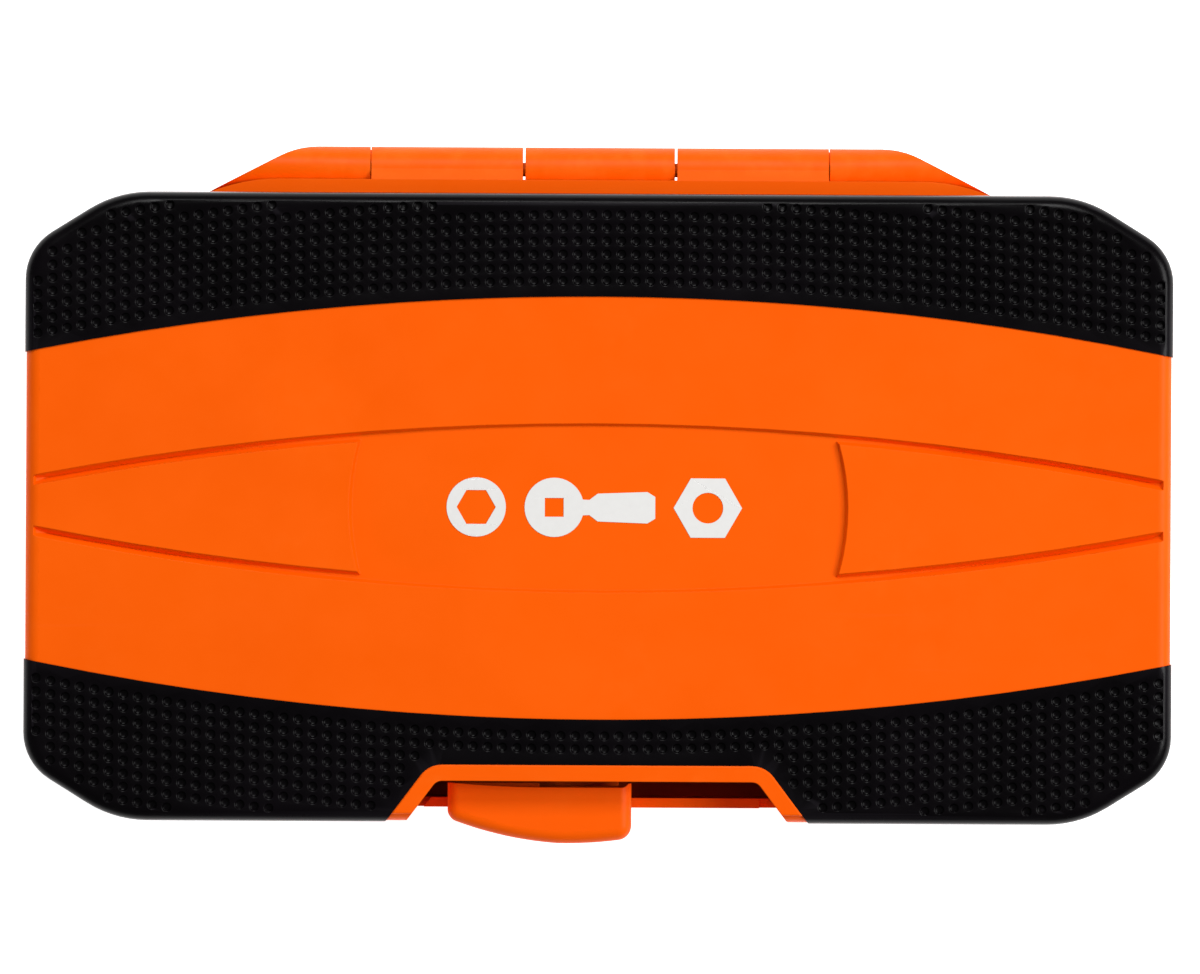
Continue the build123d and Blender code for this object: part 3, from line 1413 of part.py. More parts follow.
def straight_pockets():
    """Pockets of the extensions, adaptor, universal joint, T-bar and bit rack."""
    half_rod = TBAR_LENGTH / 2
    reach = TBAR_TRAVEL + TBAR_BLOCK + POCKET_END_GAP
    half = TBAR_BLOCK + POCKET_END_GAP
    half_rack_x = RACK_WIDTH / 2 + POCKET_GAP
    half_rack_y = RACK_DEPTH / 2 + POCKET_GAP
    bend = JOINT_POCKET_HALF
    cradle = JOINT_POCKET_START - JOINT_X + JOINT_HALF
    return [
        round_pocket(LONG_EXTENSION_X, EXTENSION_END_LENGTH, LANE_Y, TOOL_Z, EXTENSION_END),
        round_pocket(LONG_EXTENSION_X, LONG_EXTENSION, LANE_Y, TOOL_Z, EXTENSION_COLLAR),
        round_pocket(SHORT_EXTENSION_X, EXTENSION_END_LENGTH, SHORT_LANE_Y, TOOL_Z, EXTENSION_END),
        round_pocket(SHORT_EXTENSION_X, SHORT_EXTENSION, SHORT_LANE_Y, TOOL_Z, EXTENSION_COLLAR),
        round_pocket(ADAPTOR_X, ADAPTOR_LENGTH, LANE_Y, TOOL_Z, ADAPTOR_RADIUS),
        round_pocket(JOINT_X - JOINT_HALF, cradle, LANE_Y, TOOL_Z, JOINT_RADIUS),
        trough(JOINT_POCKET_START, JOINT_POCKET_END, LANE_Y - bend, LANE_Y + bend, JOINT_POCKET_FLOOR),
        trough(TBAR_X - reach, TBAR_X + reach, TBAR_Y - half, TBAR_Y + half, TBAR_SQUARE_END - 0.6),
        round_pocket(TBAR_X - half_rod, TBAR_LENGTH, TBAR_Y, TBAR_Z, TBAR_RADIUS),
        trough(RACK_X - half_rack_x, RACK_X + half_rack_x, RACK_Y - half_rack_y, RACK_Y + half_rack_y, 0),
    ]


def ratchet_pockets():
    """Pockets of the ratchet's head, drive square, neck and handle."""
    neck = RATCHET_X + HEAD_TAIL_X
    grip_start = RATCHET_X + GRIP_START_X
    handle_end = RATCHET_X + HANDLE_END_X + POCKET_END_GAP
    head_floor = head_low() - POCKET_END_GAP
    with BuildPart() as head:
        with BuildSketch(Plane.XY.offset(head_floor)):
            with Locations((RATCHET_X, RATCHET_Y)):
                add(pear(HEAD_RADIUS, HEAD_TAIL_X, HEAD_TAIL_RADIUS, POCKET_END_GAP))
        extrude(amount=BASE_HEIGHT)
        with BuildSketch(Plane.XY.offset(ANVIL_LOW - POCKET_END_GAP)):
            with Locations((RATCHET_X, RATCHET_Y)):
                Circle(JOURNAL_RADIUS)
        extrude(amount=BASE_HEIGHT)
    return [
        head.part,
        trough(
            neck,
            grip_start + 3,
            RATCHET_Y - NECK_POCKET_HALF,
            RATCHET_Y + NECK_POCKET_HALF,
            head_floor,
        ),
        trough(
            grip_start - 1,
            handle_end,
            RATCHET_Y - GRIP_POCKET_HALF,
            RATCHET_Y + GRIP_POCKET_HALF,
            RATCHET_Z - GRIP_POCKET_DEPTH,
        ),
    ]


def make_tool_tray():
    """Foam tray that fills the base, with a pocket for every tool."""
    with BuildPart() as tray:
        with BuildSketch(Plane.XY.offset(FLOOR_THICKNESS)):
            add(case_outline(-TRAY_INSET))
            add(latch_notch(TRAY_NOTCH_GAP), mode=Mode.SUBTRACT)
        extrude(amount=TRAY_TOP - FLOOR_THICKNESS)
        chamfer(tray.faces().sort_by(Axis.Z)[0].edges(), TRAY_BOTTOM_CHAMFER)
        # Sockets.
        for name, flats, hex_end, width, x in socket_places():
            back = SOCKET_BACK_Y + POCKET_END_GAP
            with BuildSketch(Plane.XZ.offset(-back)):
                with Locations((x, TOOL_Z)):
                    Circle(width / 2 + POCKET_GAP)
            extrude(amount=SOCKET_LENGTH + 2 * POCKET_END_GAP, mode=Mode.SUBTRACT)
        for pocket in straight_pockets() + ratchet_pockets():
            add(pocket, mode=Mode.SUBTRACT)
        # Finger wells beside the handle and the extensions.
        for x, y, length, width in FINGER_WELLS:
            with BuildSketch(Plane.XY.offset(RATCHET_Z - FINGER_WELL_DEPTH)):
                with Locations((x, y)):
                    SlotOverall(length, width)
            extrude(amount=BASE_HEIGHT, mode=Mode.SUBTRACT)
    return tray.part


# ---------------------------------------------------------------- build everything

lid_grips = [make_grip(True, True), make_grip(False, True)]
base_grips = [make_grip(True, False), make_grip(False, False)]
save(make_lid_shell(lid_grips), "lid_shell")
save(make_base_shell(base_grips), "base_shell")
save(lid_grips[0], "lid_grip_rear")
save(lid_grips[1], "lid_grip_front")
save(base_grips[0], "base_grip_rear")
save(base_grips[1], "base_grip_front")
save(make_hinge_pins(), "hinge_pins")
save(make_latch_slider(), "latch_slider")
save(make_tool_tray(), "tool_tray")

for name, flats, hex_end, width, x in socket_places():
    place = Location((x, SOCKET_BACK_Y, TOOL_Z), (90, 0, 0))
    save(make_socket(flats, hex_end).moved(place), "socket_" + name)

for name, length, x, y in (
    ("extension_long", LONG_EXTENSION, LONG_EXTENSION_X, LANE_Y),
    ("extension_short", SHORT_EXTENSION, SHORT_EXTENSION_X, SHORT_LANE_Y),
):
    place = Location((x, y, TOOL_Z), (0, 90, 0))
    save(make_extension(length).moved(place), name)
    seat = Location((x + length - BALL_FROM_END, y, TOOL_Z - BALL_CENTRE))
    save(make_ball(seat), name + "_ball")

adaptor_place = Location((ADAPTOR_X, LANE_Y, TOOL_Z), (0, 90, 0))
save(make_adaptor().moved(adaptor_place), "bit_adaptor")
save(make_magnet().moved(adaptor_place), "adaptor_magnet")

joint_centre = (JOINT_X, LANE_Y, TOOL_Z)
socket_yoke_plane = Plane(origin=joint_centre, x_dir=(0, 1, 0), z_dir=(1, 0, 0))
drive_yoke_plane = Plane(origin=joint_centre, x_dir=(0, 0, 1), z_dir=(-1, 0, 0))
save(make_yoke(False).moved(socket_yoke_plane.location), "joint_socket_yoke")
save(make_yoke(True).moved(drive_yoke_plane.location), "joint_drive_yoke")
save(make_cross().moved(Location(joint_centre)), "joint_cross")
save(make_cross_pins().moved(Location(joint_centre)), "joint_pins")
joint_ball_place = Location((JOINT_X + JOINT_HALF - BALL_FROM_END, LANE_Y, TOOL_Z + BALL_CENTRE))
save(make_ball(joint_ball_place), "joint_ball")

save(make_tbar_rod(), "tbar_rod")
save(make_tbar_slider(), "tbar_slider")
tbar_ball_place = Location((TBAR_X + BALL_CENTRE, TBAR_Y, TBAR_SQUARE_END + BALL_FROM_END))
save(make_ball(tbar_ball_place), "tbar_ball")

ratchet_place = Location((RATCHET_X, RATCHET_Y, 0))
save(make_ratchet_body().moved(ratchet_place), "ratchet_body")
save(make_ratchet_grip().moved(ratchet_place), "ratchet_grip")
save(make_ratchet_cover().moved(ratchet_place), "ratchet_cover")
save(make_cover_screws().moved(ratchet_place), "cover_screws")
save(make_drive_gear().moved(ratchet_place), "drive_gear")
save(make_release_button().moved(ratchet_place), "release_button")
save(make_pawl().moved(ratchet_place), "pawl")
save(make_plunger().moved(ratchet_place), "pawl_plunger")
save(make_reversing_lever().moved(ratchet_place), "reversing_lever")
drive_ball_place = Location((BALL_CENTRE, 0, ANVIL_LOW + BALL_FROM_END))
save(make_ball(drive_ball_place).moved(ratchet_place), "drive_ball")
button_coil = make_coil(1.8, SPRING_WIRE, 2.3, 4).moved(Location((0, 0, WELL_FLOOR + 0.25)))
save(button_coil.moved(ratchet_place), "button_spring")
spring_start = LEVER_X + PAWL_RADIUS + 2 * PLUNGER_RADIUS + 0.4
pawl_coil = make_coil(0.9, SPRING_WIRE, 2.6, 4)
pawl_coil = pawl_coil.moved(Location((spring_start, 0, RATCHET_Z + 0.5), (0, 90, 0)))
save(pawl_coil.moved(ratchet_place), "pawl_spring")

for kind, name in enumerate(("bits_slotted", "bits_cross", "bits_hex", "bits_star")):
    save(make_bits(kind), name)
save(make_bit_rack(), "bit_rack")
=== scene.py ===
"""A socket wrench set in its closed case: dimpled rubber grips, moulded plastic, and the tools inside.

Everything is in metres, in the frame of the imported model: +Z up, the hinge at +Y and the latch at -Y.
"""

import math

import bmesh
import bpy
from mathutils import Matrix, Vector
from mathutils.bvhtree import BVHTree
from mathutils.geometry import delaunay_2d_cdt, tessellate_polygon


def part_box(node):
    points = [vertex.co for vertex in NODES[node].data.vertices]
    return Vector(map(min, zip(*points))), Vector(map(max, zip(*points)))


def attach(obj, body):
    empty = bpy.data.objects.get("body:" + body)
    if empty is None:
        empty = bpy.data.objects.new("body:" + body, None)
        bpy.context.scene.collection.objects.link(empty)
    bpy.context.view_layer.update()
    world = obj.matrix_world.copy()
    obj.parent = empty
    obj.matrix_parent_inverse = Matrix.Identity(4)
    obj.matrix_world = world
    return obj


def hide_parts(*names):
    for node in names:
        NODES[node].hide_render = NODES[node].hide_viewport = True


MM = 0.001

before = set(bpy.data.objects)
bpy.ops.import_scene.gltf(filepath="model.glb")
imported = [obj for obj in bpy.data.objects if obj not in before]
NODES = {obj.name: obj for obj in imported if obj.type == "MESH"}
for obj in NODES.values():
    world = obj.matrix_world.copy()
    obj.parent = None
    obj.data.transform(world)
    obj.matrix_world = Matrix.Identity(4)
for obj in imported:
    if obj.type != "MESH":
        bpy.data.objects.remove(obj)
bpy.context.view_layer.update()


# ---------------------------------------------------------------- camera, light and floor

# The view's width and middle are measured in the plane of the lid's top.
CAMERA_HEIGHT = 5.0
VIEW_WIDTH = 198.35 * MM
VIEW_MIDDLE = (0.25 * MM, 3.5 * MM)
VIEW_ROLL = math.radians(0.3)
SENSOR_WIDTH = 36.0
FLOOR_HALF = 4.0
FLOOR_DROP = 0.02 * MM


def make_camera():
    """A long lens straight above the lid, with a slight roll."""
    data = bpy.data.cameras.new("camera")
    lid_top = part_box("lid_shell")[1].z
    data.sensor_width = SENSOR_WIDTH
    data.lens = SENSOR_WIDTH * (CAMERA_HEIGHT - lid_top) / VIEW_WIDTH
    data.clip_start = 0.01
    data.clip_end = 100.0
    camera = bpy.data.objects.new("camera", data)
    bpy.context.scene.collection.objects.link(camera)
    camera.location = (*VIEW_MIDDLE, CAMERA_HEIGHT)
    camera.rotation_euler = (0.0, 0.0, VIEW_ROLL)
    bpy.context.scene.camera = camera


def softbox(name, place, size, watts):
    """A square area light at place, facing the case."""
    data = bpy.data.lights.new(name, "AREA")
    data.size = size
    data.energy = watts
    light = bpy.data.objects.new(name, data)
    bpy.context.scene.collection.objects.link(light)
    light.location = place
    light.rotation_euler = (-Vector(place)).to_track_quat("-Z", "Y").to_euler()


def make_lights():
    """A softbox low on the right, a smaller one behind the hinge, and an even white surround."""
    softbox("key", (1.10, 0.12, 1.08), 0.7, 17.5)
    softbox("rear", (0.05, 1.00, 1.25), 0.5, 13.5)
    world = bpy.data.worlds.new("studio")
    world.use_nodes = True
    back = world.node_tree.nodes["Background"]
    back.inputs["Color"].default_value = (1.0, 1.0, 1.0, 1.0)
    back.inputs["Strength"].default_value = 0.25
    bpy.context.scene.world = world
    bpy.context.scene.view_settings.view_transform = "Standard"


# ---------------------------------------------------------------- materials


class Nodes:
    """A small helper round one material's node tree."""

    def __init__(self, name):
        self.material = bpy.data.materials.new(name)
        self.material.use_nodes = True
        self.tree = self.material.node_tree
        self.shader = self.tree.nodes["Principled BSDF"]
        self.where = self.tree.nodes.new("ShaderNodeTexCoord").outputs["Object"]

    def add(self, kind, **values):
        """A node with its properties and input sockets set. A socket may be given another node's output."""
        node = self.tree.nodes.new(kind)
        for key, value in values.items():
            if hasattr(node, key):
                setattr(node, key, value)
            else:
                self.feed(node.inputs[key.replace("_", " ")], value)
        return node

    def feed(self, socket, value):
        """Links value to the socket when it is an output, and sets it otherwise."""
        if isinstance(value, bpy.types.NodeSocket):
            self.tree.links.new(value, socket)
        else:
            socket.default_value = value

    def set(self, **values):
        """Sets or links inputs of the surface shader."""
        for key, value in values.items():
            self.feed(self.shader.inputs[key.replace("_", " ")], value)

    def stretched(self, x, y, z):
        """Object coordinates scaled by x, y and z."""
        return self.add("ShaderNodeMapping", Vector=self.where, Scale=(x, y, z)).outputs["Vector"]

    def noise(self, scale, detail=3.0, rough=0.55, vector=None):
        """Soft noise from 0 to 1."""
        node = self.add("ShaderNodeTexNoise", Vector=vector or self.where, Scale=scale, Detail=detail, Roughness=rough)
        return node.outputs["Fac"]

    def cells(self, scale, feature="F1"):
        """Distance to the nearest cell point."""
        node = self.add("ShaderNodeTexVoronoi", feature=feature, Vector=self.where, Scale=scale)
        return node.outputs["Distance"]

    def span(self, value, low, high, out_low=0.0, out_high=1.0):
        """Maps low..high of value to out_low..out_high, clamped."""
        node = self.add("ShaderNodeMapRange", Value=value, clamp=True)
        node.inputs["From Min"].default_value = low
        node.inputs["From Max"].default_value = high
        node.inputs["To Min"].default_value = out_low
        node.inputs["To Max"].default_value = out_high
        return node.outputs["Result"]

    def maths(self, operation, a, b):
        """Two values through one operation."""
        node = self.add("ShaderNodeMath", operation=operation)
        self.feed(node.inputs[0], a)
        self.feed(node.inputs[1], b)
        return node.outputs["Value"]

    def mixed(self, share, first, second):
        """The second colour over the first by share."""
        node = self.add("ShaderNodeMix", data_type="RGBA")
        colours = [s for s in node.inputs if s.type == "RGBA"]
        self.feed(node.inputs["Factor"], share)
        self.feed(colours[0], first)
        self.feed(colours[1], second)
        return next(s for s in node.outputs if s.type == "RGBA")

    def bump(self, height, strength, distance, normal=None):
        """A bumped normal. Height is in units of distance."""
        node = self.add("ShaderNodeBump", Height=height, Strength=strength, Distance=distance)
        if normal is not None:
            self.tree.links.new(normal, node.inputs["Normal"])
        return node.outputs["Normal"]

    def soft_edge(self, radius):
        """The normal of the surface with its sharp edges eased by radius."""
        return self.add("ShaderNodeBevel", samples=4, Radius=radius).outputs["Normal"]

    def edges(self, low, high):
        """1 on convex edges, 0 elsewhere: worn edges on most finishes, a painted sheen on the rubber."""
        pointy = self.add("ShaderNodeNewGeometry").outputs["Pointiness"]
        return self.span(pointy, low, high)


def moulded_orange():
    """Satin orange ABS with a faint flow mottle, fine grain, rubbed edges and a few hairline scratches."""
    n = Nodes("orange_moulded_plastic")
    mottle = n.noise(45.0, 4.0)
    patches = n.noise(11.0, 2.0)
    colour = n.mixed(n.span(mottle, 0.3, 0.7), (0.86, 0.098, 0.0, 1), (0.90, 0.108, 0.0, 1))
    colour = n.mixed(n.span(patches, 0.4, 0.75, 0.0, 0.5), colour, (0.84, 0.088, 0.0, 1))
    rubbed = n.maths("MULTIPLY", n.edges(0.53, 0.60), n.span(n.noise(260.0), 0.45, 0.65))
    colour = n.mixed(n.maths("MULTIPLY", rubbed, 0.3), colour, (0.91, 0.15, 0.01, 1))
    hairlines = n.span(n.noise(30.0, 2.0, 0.5, n.stretched(1.2, 26.0, 1.0)), 0.66, 0.70)
    hairlines = n.maths("MULTIPLY", hairlines, n.span(n.noise(18.0), 0.5, 0.62))
    rough = n.span(n.noise(90.0, 5.0), 0.3, 0.7, 0.36, 0.46)
    rough = n.maths("ADD", rough, n.maths("MULTIPLY", hairlines, 0.12))
    grain = n.bump(n.noise(5200.0, 2.0), 0.10, 0.02 * MM, n.soft_edge(0.25 * MM))
    normal = n.bump(n.noise(14.0, 2.0), 0.25, 0.25 * MM, grain)
    n.set(Base_Color=colour, Roughness=rough, Normal=normal)
    n.shader.inputs["Specular IOR Level"].default_value = 0.07
    return n.material


def moulded_rubber():
    """Near-black soft rubber: matt, faintly dusty on its flats, with a painted sheen on its edges and pit rims, and a
    fine spark-eroded grain.
    """
    n = Nodes("black_rubber")
    dust = n.span(n.noise(34.0, 5.0, 0.6), 0.42, 0.72)
    colour = n.mixed(dust, (0.0006, 0.0002, 0.0006, 1), (0.0018, 0.0010, 0.0019, 1))
    # Painted sheen: convex edges and the pits' rims are lightened to grey to stand in for light catching them.
    colour = n.mixed(n.maths("MULTIPLY", n.edges(0.54, 0.62), 0.5), colour, (0.012, 0.010, 0.013, 1))
    rough = n.span(n.noise(120.0, 4.0), 0.3, 0.7, 0.25, 0.32)
    normal = n.bump(n.noise(3600.0, 3.0), 0.35, 0.03 * MM)
    n.set(Base_Color=colour, Roughness=rough, Normal=normal)
    n.shader.inputs["Specular IOR Level"].default_value = 0.09
    return n.material


def tray_foam():
    """Charcoal closed-cell foam."""
    n = Nodes("charcoal_foam")
    cells = n.cells(1500.0)
    colour = n.mixed(n.noise(60.0, 4.0), (0.020, 0.021, 0.023, 1), (0.034, 0.035, 0.038, 1))
    colour = n.mixed(n.span(cells, 0.2, 0.75, 0.0, 0.6), colour, (0.010, 0.010, 0.011, 1))
    normal = n.bump(cells, 0.6, 0.12 * MM)
    n.set(Base_Color=colour, Roughness=n.span(n.noise(300.0), 0.3, 0.7, 0.82, 0.95), Normal=normal)
    n.shader.inputs["Specular IOR Level"].default_value = 0.25
    return n.material


def black_plastic():
    """Black nylon with a fine grain."""
    n = Nodes("black_nylon")
    colour = n.mixed(n.noise(80.0, 4.0), (0.010, 0.010, 0.011, 1), (0.020, 0.020, 0.021, 1))
    rough = n.span(n.noise(150.0, 4.0), 0.3, 0.7, 0.36, 0.52)
    normal = n.bump(n.noise(4200.0, 2.0), 0.22, 0.03 * MM, n.soft_edge(0.2 * MM))
    n.set(Base_Color=colour, Roughness=rough, Normal=normal)
    return n.material


def satin_chrome():
    """Chromed tool steel: satin, with polishing streaks, slight stains and brighter edges."""
    n = Nodes("satin_chrome")
    stains = n.span(n.noise(70.0, 5.0, 0.6), 0.4, 0.75)
    colour = n.mixed(stains, (0.78, 0.79, 0.81, 1), (0.66, 0.67, 0.69, 1))
    colour = n.mixed(n.maths("MULTIPLY", n.edges(0.53, 0.60), 0.7), colour, (0.90, 0.90, 0.91, 1))
    streaks = n.noise(900.0, 4.0, 0.6, n.stretched(1.0, 1.0, 7.0))
    rough = n.span(n.maths("ADD", streaks, n.maths("MULTIPLY", stains, 0.25)), 0.3, 0.9, 0.16, 0.30)
    normal = n.bump(streaks, 0.12, 0.003 * MM, n.soft_edge(0.12 * MM))
    n.set(Base_Color=colour, Roughness=rough, Normal=normal)
    n.shader.inputs["Metallic"].default_value = 1.0
    return n.material


def dark_steel():
    """Oiled tool steel, darker and rougher than the chrome."""
    n = Nodes("oiled_steel")
    colour = n.mixed(n.noise(120.0, 5.0), (0.25, 0.25, 0.26, 1), (0.40, 0.40, 0.41, 1))
    colour = n.mixed(n.maths("MULTIPLY", n.edges(0.53, 0.60), 0.6), colour, (0.60, 0.60, 0.61, 1))
    streaks = n.noise(700.0, 4.0)
    normal = n.bump(streaks, 0.15, 0.005 * MM, n.soft_edge(0.1 * MM))
    n.set(Base_Color=colour, Roughness=n.span(streaks, 0.3, 0.7, 0.30, 0.45), Normal=normal)
    n.shader.inputs["Metallic"].default_value = 1.0
    return n.material


def white_print():
    """Off-white pad-printed ink, slightly uneven."""
    n = Nodes("white_print")
    colour = n.mixed(n.noise(900.0, 4.0), (0.69, 0.68, 0.665, 1), (0.74, 0.735, 0.72, 1))
    normal = n.bump(n.noise(2600.0, 3.0), 0.15, 0.02 * MM)
    n.set(Base_Color=colour, Roughness=n.span(n.noise(400.0), 0.3, 0.7, 0.45, 0.60), Normal=normal)
    n.shader.inputs["Specular IOR Level"].default_value = 0.3
    return n.material


def floor_paper():
    """White paper, clear when seen from underneath."""
    n = Nodes("white_paper")
    colour = n.mixed(n.noise(9.0, 4.0), (0.93, 0.93, 0.93, 1), (0.95, 0.95, 0.95, 1))
    n.set(Base_Color=colour, Roughness=0.9)
    n.shader.inputs["Specular IOR Level"].default_value = 0.1
    n.shader.inputs["Emission Color"].default_value = (1.0, 1.0, 1.0, 1.0)
    n.shader.inputs["Emission Strength"].default_value = 0.95
    clear = n.add("ShaderNodeBsdfTransparent").outputs["BSDF"]
    both = n.add("ShaderNodeMixShader")
    n.feed(both.inputs[0], n.add("ShaderNodeNewGeometry").outputs["Backfacing"])
    n.feed(both.inputs[1], n.shader.outputs["BSDF"])
    n.feed(both.inputs[2], clear)
    n.feed(n.tree.nodes["Material Output"].inputs["Surface"], both.outputs["Shader"])
    return n.material


def make_floor():
    """A plain white sheet under the case."""
    corners = [(x * FLOOR_HALF, y * FLOOR_HALF, 0) for x, y in ((-1, -1), (1, -1), (1, 1), (-1, 1))]
    mesh = bpy.data.meshes.new("floor")
    mesh.from_pydata(corners, [], [(0, 1, 2, 3)])
    floor = bpy.data.objects.new("floor", mesh)
    bpy.context.scene.collection.objects.link(floor)
    floor.location.z = -FLOOR_DROP
    mesh.materials.append(floor_paper())


# ---------------------------------------------------------------- rubber grips with moulded pits

PIT_COLUMN_PITCH = 2.41 * MM
PIT_ROW_PITCH = 2.18 * MM
PIT_FIRST_ROW = 2.65 * MM
PIT_ROWS = 16
PIT_SIDES = 14
# Each ring of a pit: its radius and its depth, in millimetres.
PIT_RINGS = ((0.92, 0.0), (0.83, 0.02), (0.75, 0.07), (0.68, 0.17), (0.63, 0.32), (0.58, 0.70), (0.50, 0.74))
# A pit that the grip's outline would cut to less than this share is left out.
PIT_WHOLE = 0.9
FIELD_INSET = 1.6 * MM
NOTCH_MARGIN = 0.9 * MM
NOTCH_HALF = 37.0 * MM
NOTCH_START = 3.0 * MM
NOTCH_STEP = 0.5 * MM
BAND_HALF = 35.0 * MM
BAND_RADIUS = 475.0 * MM
TOP_SLOPE = math.cos(math.radians(34.0))
TOP_DROP = 2.0 * MM
CREASE_ANGLE = math.radians(1.5)
SMOOTH_ANGLE = math.radians(32.0)
WELD = 0.001 * MM
SHORTEST_SIDE = 1e-6
CUT_TOLERANCE = 1e-8
FAR = 10.0 * MM


def band_edge(x):
    """Half the depth of the orange band at x: the grips start at this arc."""
    return BAND_HALF - BAND_RADIUS + math.sqrt(BAND_RADIUS ** 2 - x ** 2)


def hull(points):
    """The convex outline of flat points, anticlockwise."""
    points = sorted(set(points))
    chains = []
    for run in (points, points[::-1]):
        chain = []
        for p in run:
            while len(chain) > 1 and turn(chain[-2], chain[-1], p) <= 0:
                chain.pop()
            chain.append(p)
        chains += chain[:-1]
    return chains


def turn(a, b, c):
    """Twice the signed area of the triangle a, b, c."""
    return (b[0] - a[0]) * (c[1] - a[1]) - (b[1] - a[1]) * (c[0] - a[0])


def inward_lines(outline, inset):
    """Each side of a convex outline as (point, inward normal), moved in by inset."""
    lines = []
    for a, b in zip(outline, outline[1:] + outline[:1]):
        along = Vector(b) - Vector(a)
        if along.length > SHORTEST_SIDE:
            inward = Vector((-along.y, along.x)).normalized()
            lines.append((Vector(a) + inward * inset, inward))
    return lines


def clipped(polygon, lines):
    """The part of a convex polygon that lies inside every line."""
    for point, inward in lines:
        kept = []
        for a, b in zip(polygon, polygon[1:] + polygon[:1]):
            da = (a - point).dot(inward)
            db = (b - point).dot(inward)
            if da >= 0:
                kept.append(a)
            if da * db < 0:
                kept.append(a + (b - a) * (da / (da - db)))
        polygon = kept
        if len(polygon) < 3:
            return []
    return polygon


def area(polygon):
    """The area of a flat polygon."""
    return abs(sum(a.cross(b) for a, b in zip(polygon, polygon[1:] + polygon[:1]))) / 2


def pit_mouths(side, lines, notch):
    """The pits' mouths on one grip. side is 1 at the hinge and -1 at the latch. notch is the part to keep clear of."""
    reach = max(abs(p.x) for p, _ in lines)
    columns = int(reach / PIT_COLUMN_PITCH) + 1
    radius = PIT_RINGS[0][0] * MM
    turns = [math.tau * i / PIT_SIDES for i in range(PIT_SIDES)]
    mouths = []
    for column in range(-columns, columns):
        x = (column + 0.5) * PIT_COLUMN_PITCH
        for row in range(PIT_ROWS):
            y = side * (band_edge(x) + PIT_FIRST_ROW + row * PIT_ROW_PITCH)
            if notch and min((Vector((x, y)) - p).length for p in notch) < NOTCH_MARGIN + radius:
                continue
            circle = [Vector((x + radius * math.cos(t), y + radius * math.sin(t))) for t in turns]
            mouth = clipped(circle, lines)
            if mouth and area(mouth) > PIT_WHOLE * area(circle):
                mouths.append(mouth)
    return mouths


def new_object(name, bm, material):
    """An object of the given mesh and finish. The mesh is freed."""
    mesh = bpy.data.meshes.new(name)
    bm.to_mesh(mesh)
    bm.free()
    mesh.materials.append(material)
    made = bpy.data.objects.new(name, mesh)
    bpy.context.scene.collection.objects.link(made)
    return made


def loops_of(edges):
    """Closed loops of vertices that the edges make."""
    beside = {}
    for e in edges:
        first, second = e.verts
        beside.setdefault(first, []).append(second)
        beside.setdefault(second, []).append(first)
    loops, seen = [], set()
    for start in beside:
        loop, v = [], start
        while v is not None and v not in seen:
            seen.add(v)
            loop.append(v)
            v = next((w for w in beside[v] if w not in seen), None)
        if loop:
            loops.append(loop)
    return loops


def broad_rim(broad):
    """The loop round the broad face, anticlockwise, as vertices and as flat points, and the creases inside it."""
    inside = set(broad)
    edges = list(dict.fromkeys(e for f in broad for e in f.edges))
    rim_edges = [e for e in edges if sum(f in inside for f in e.link_faces) == 1]
    rim = max(loops_of(rim_edges), key=len)
    flat = [v.co.xy for v in rim]
    if sum(a.cross(b) for a, b in zip(flat, flat[1:] + flat[:1])) < 0:
        rim.reverse()
        flat.reverse()
    on_rim = set(rim_edges)
    creases = [e for e in edges if e not in on_rim and e.calc_face_angle(0) > CREASE_ANGLE]
    return rim, flat, creases


def pitted_plan(rim, flat, creases, mouths):
    """The broad face seen from above, cut into triangles round the pits' mouths: points, rim indices and triangles."""
    points = list(flat)
    known = {v: i for i, v in enumerate(rim)}
    lines = []
    for e in creases:
        for v in e.verts:
            if v not in known:
                known[v] = len(points)
                points.append(v.co.xy)
        lines.append((known[e.verts[0]], known[e.verts[1]]))
    faces = [list(range(len(rim)))]
    for mouth in mouths:
        faces.append(list(range(len(points), len(points) + len(mouth))))
        points += mouth
    plan, _, triangles, origins, _, from_faces = delaunay_2d_cdt(points, lines, faces, 1, CUT_TOLERANCE, True)
    on_rim = [next((o for o in origin if o < len(rim)), None) for origin in origins]
    kept = [t for t, f in zip(triangles, from_faces) if 0 in f and not any(i > 0 for i in f)]
    return plan, on_rim, kept


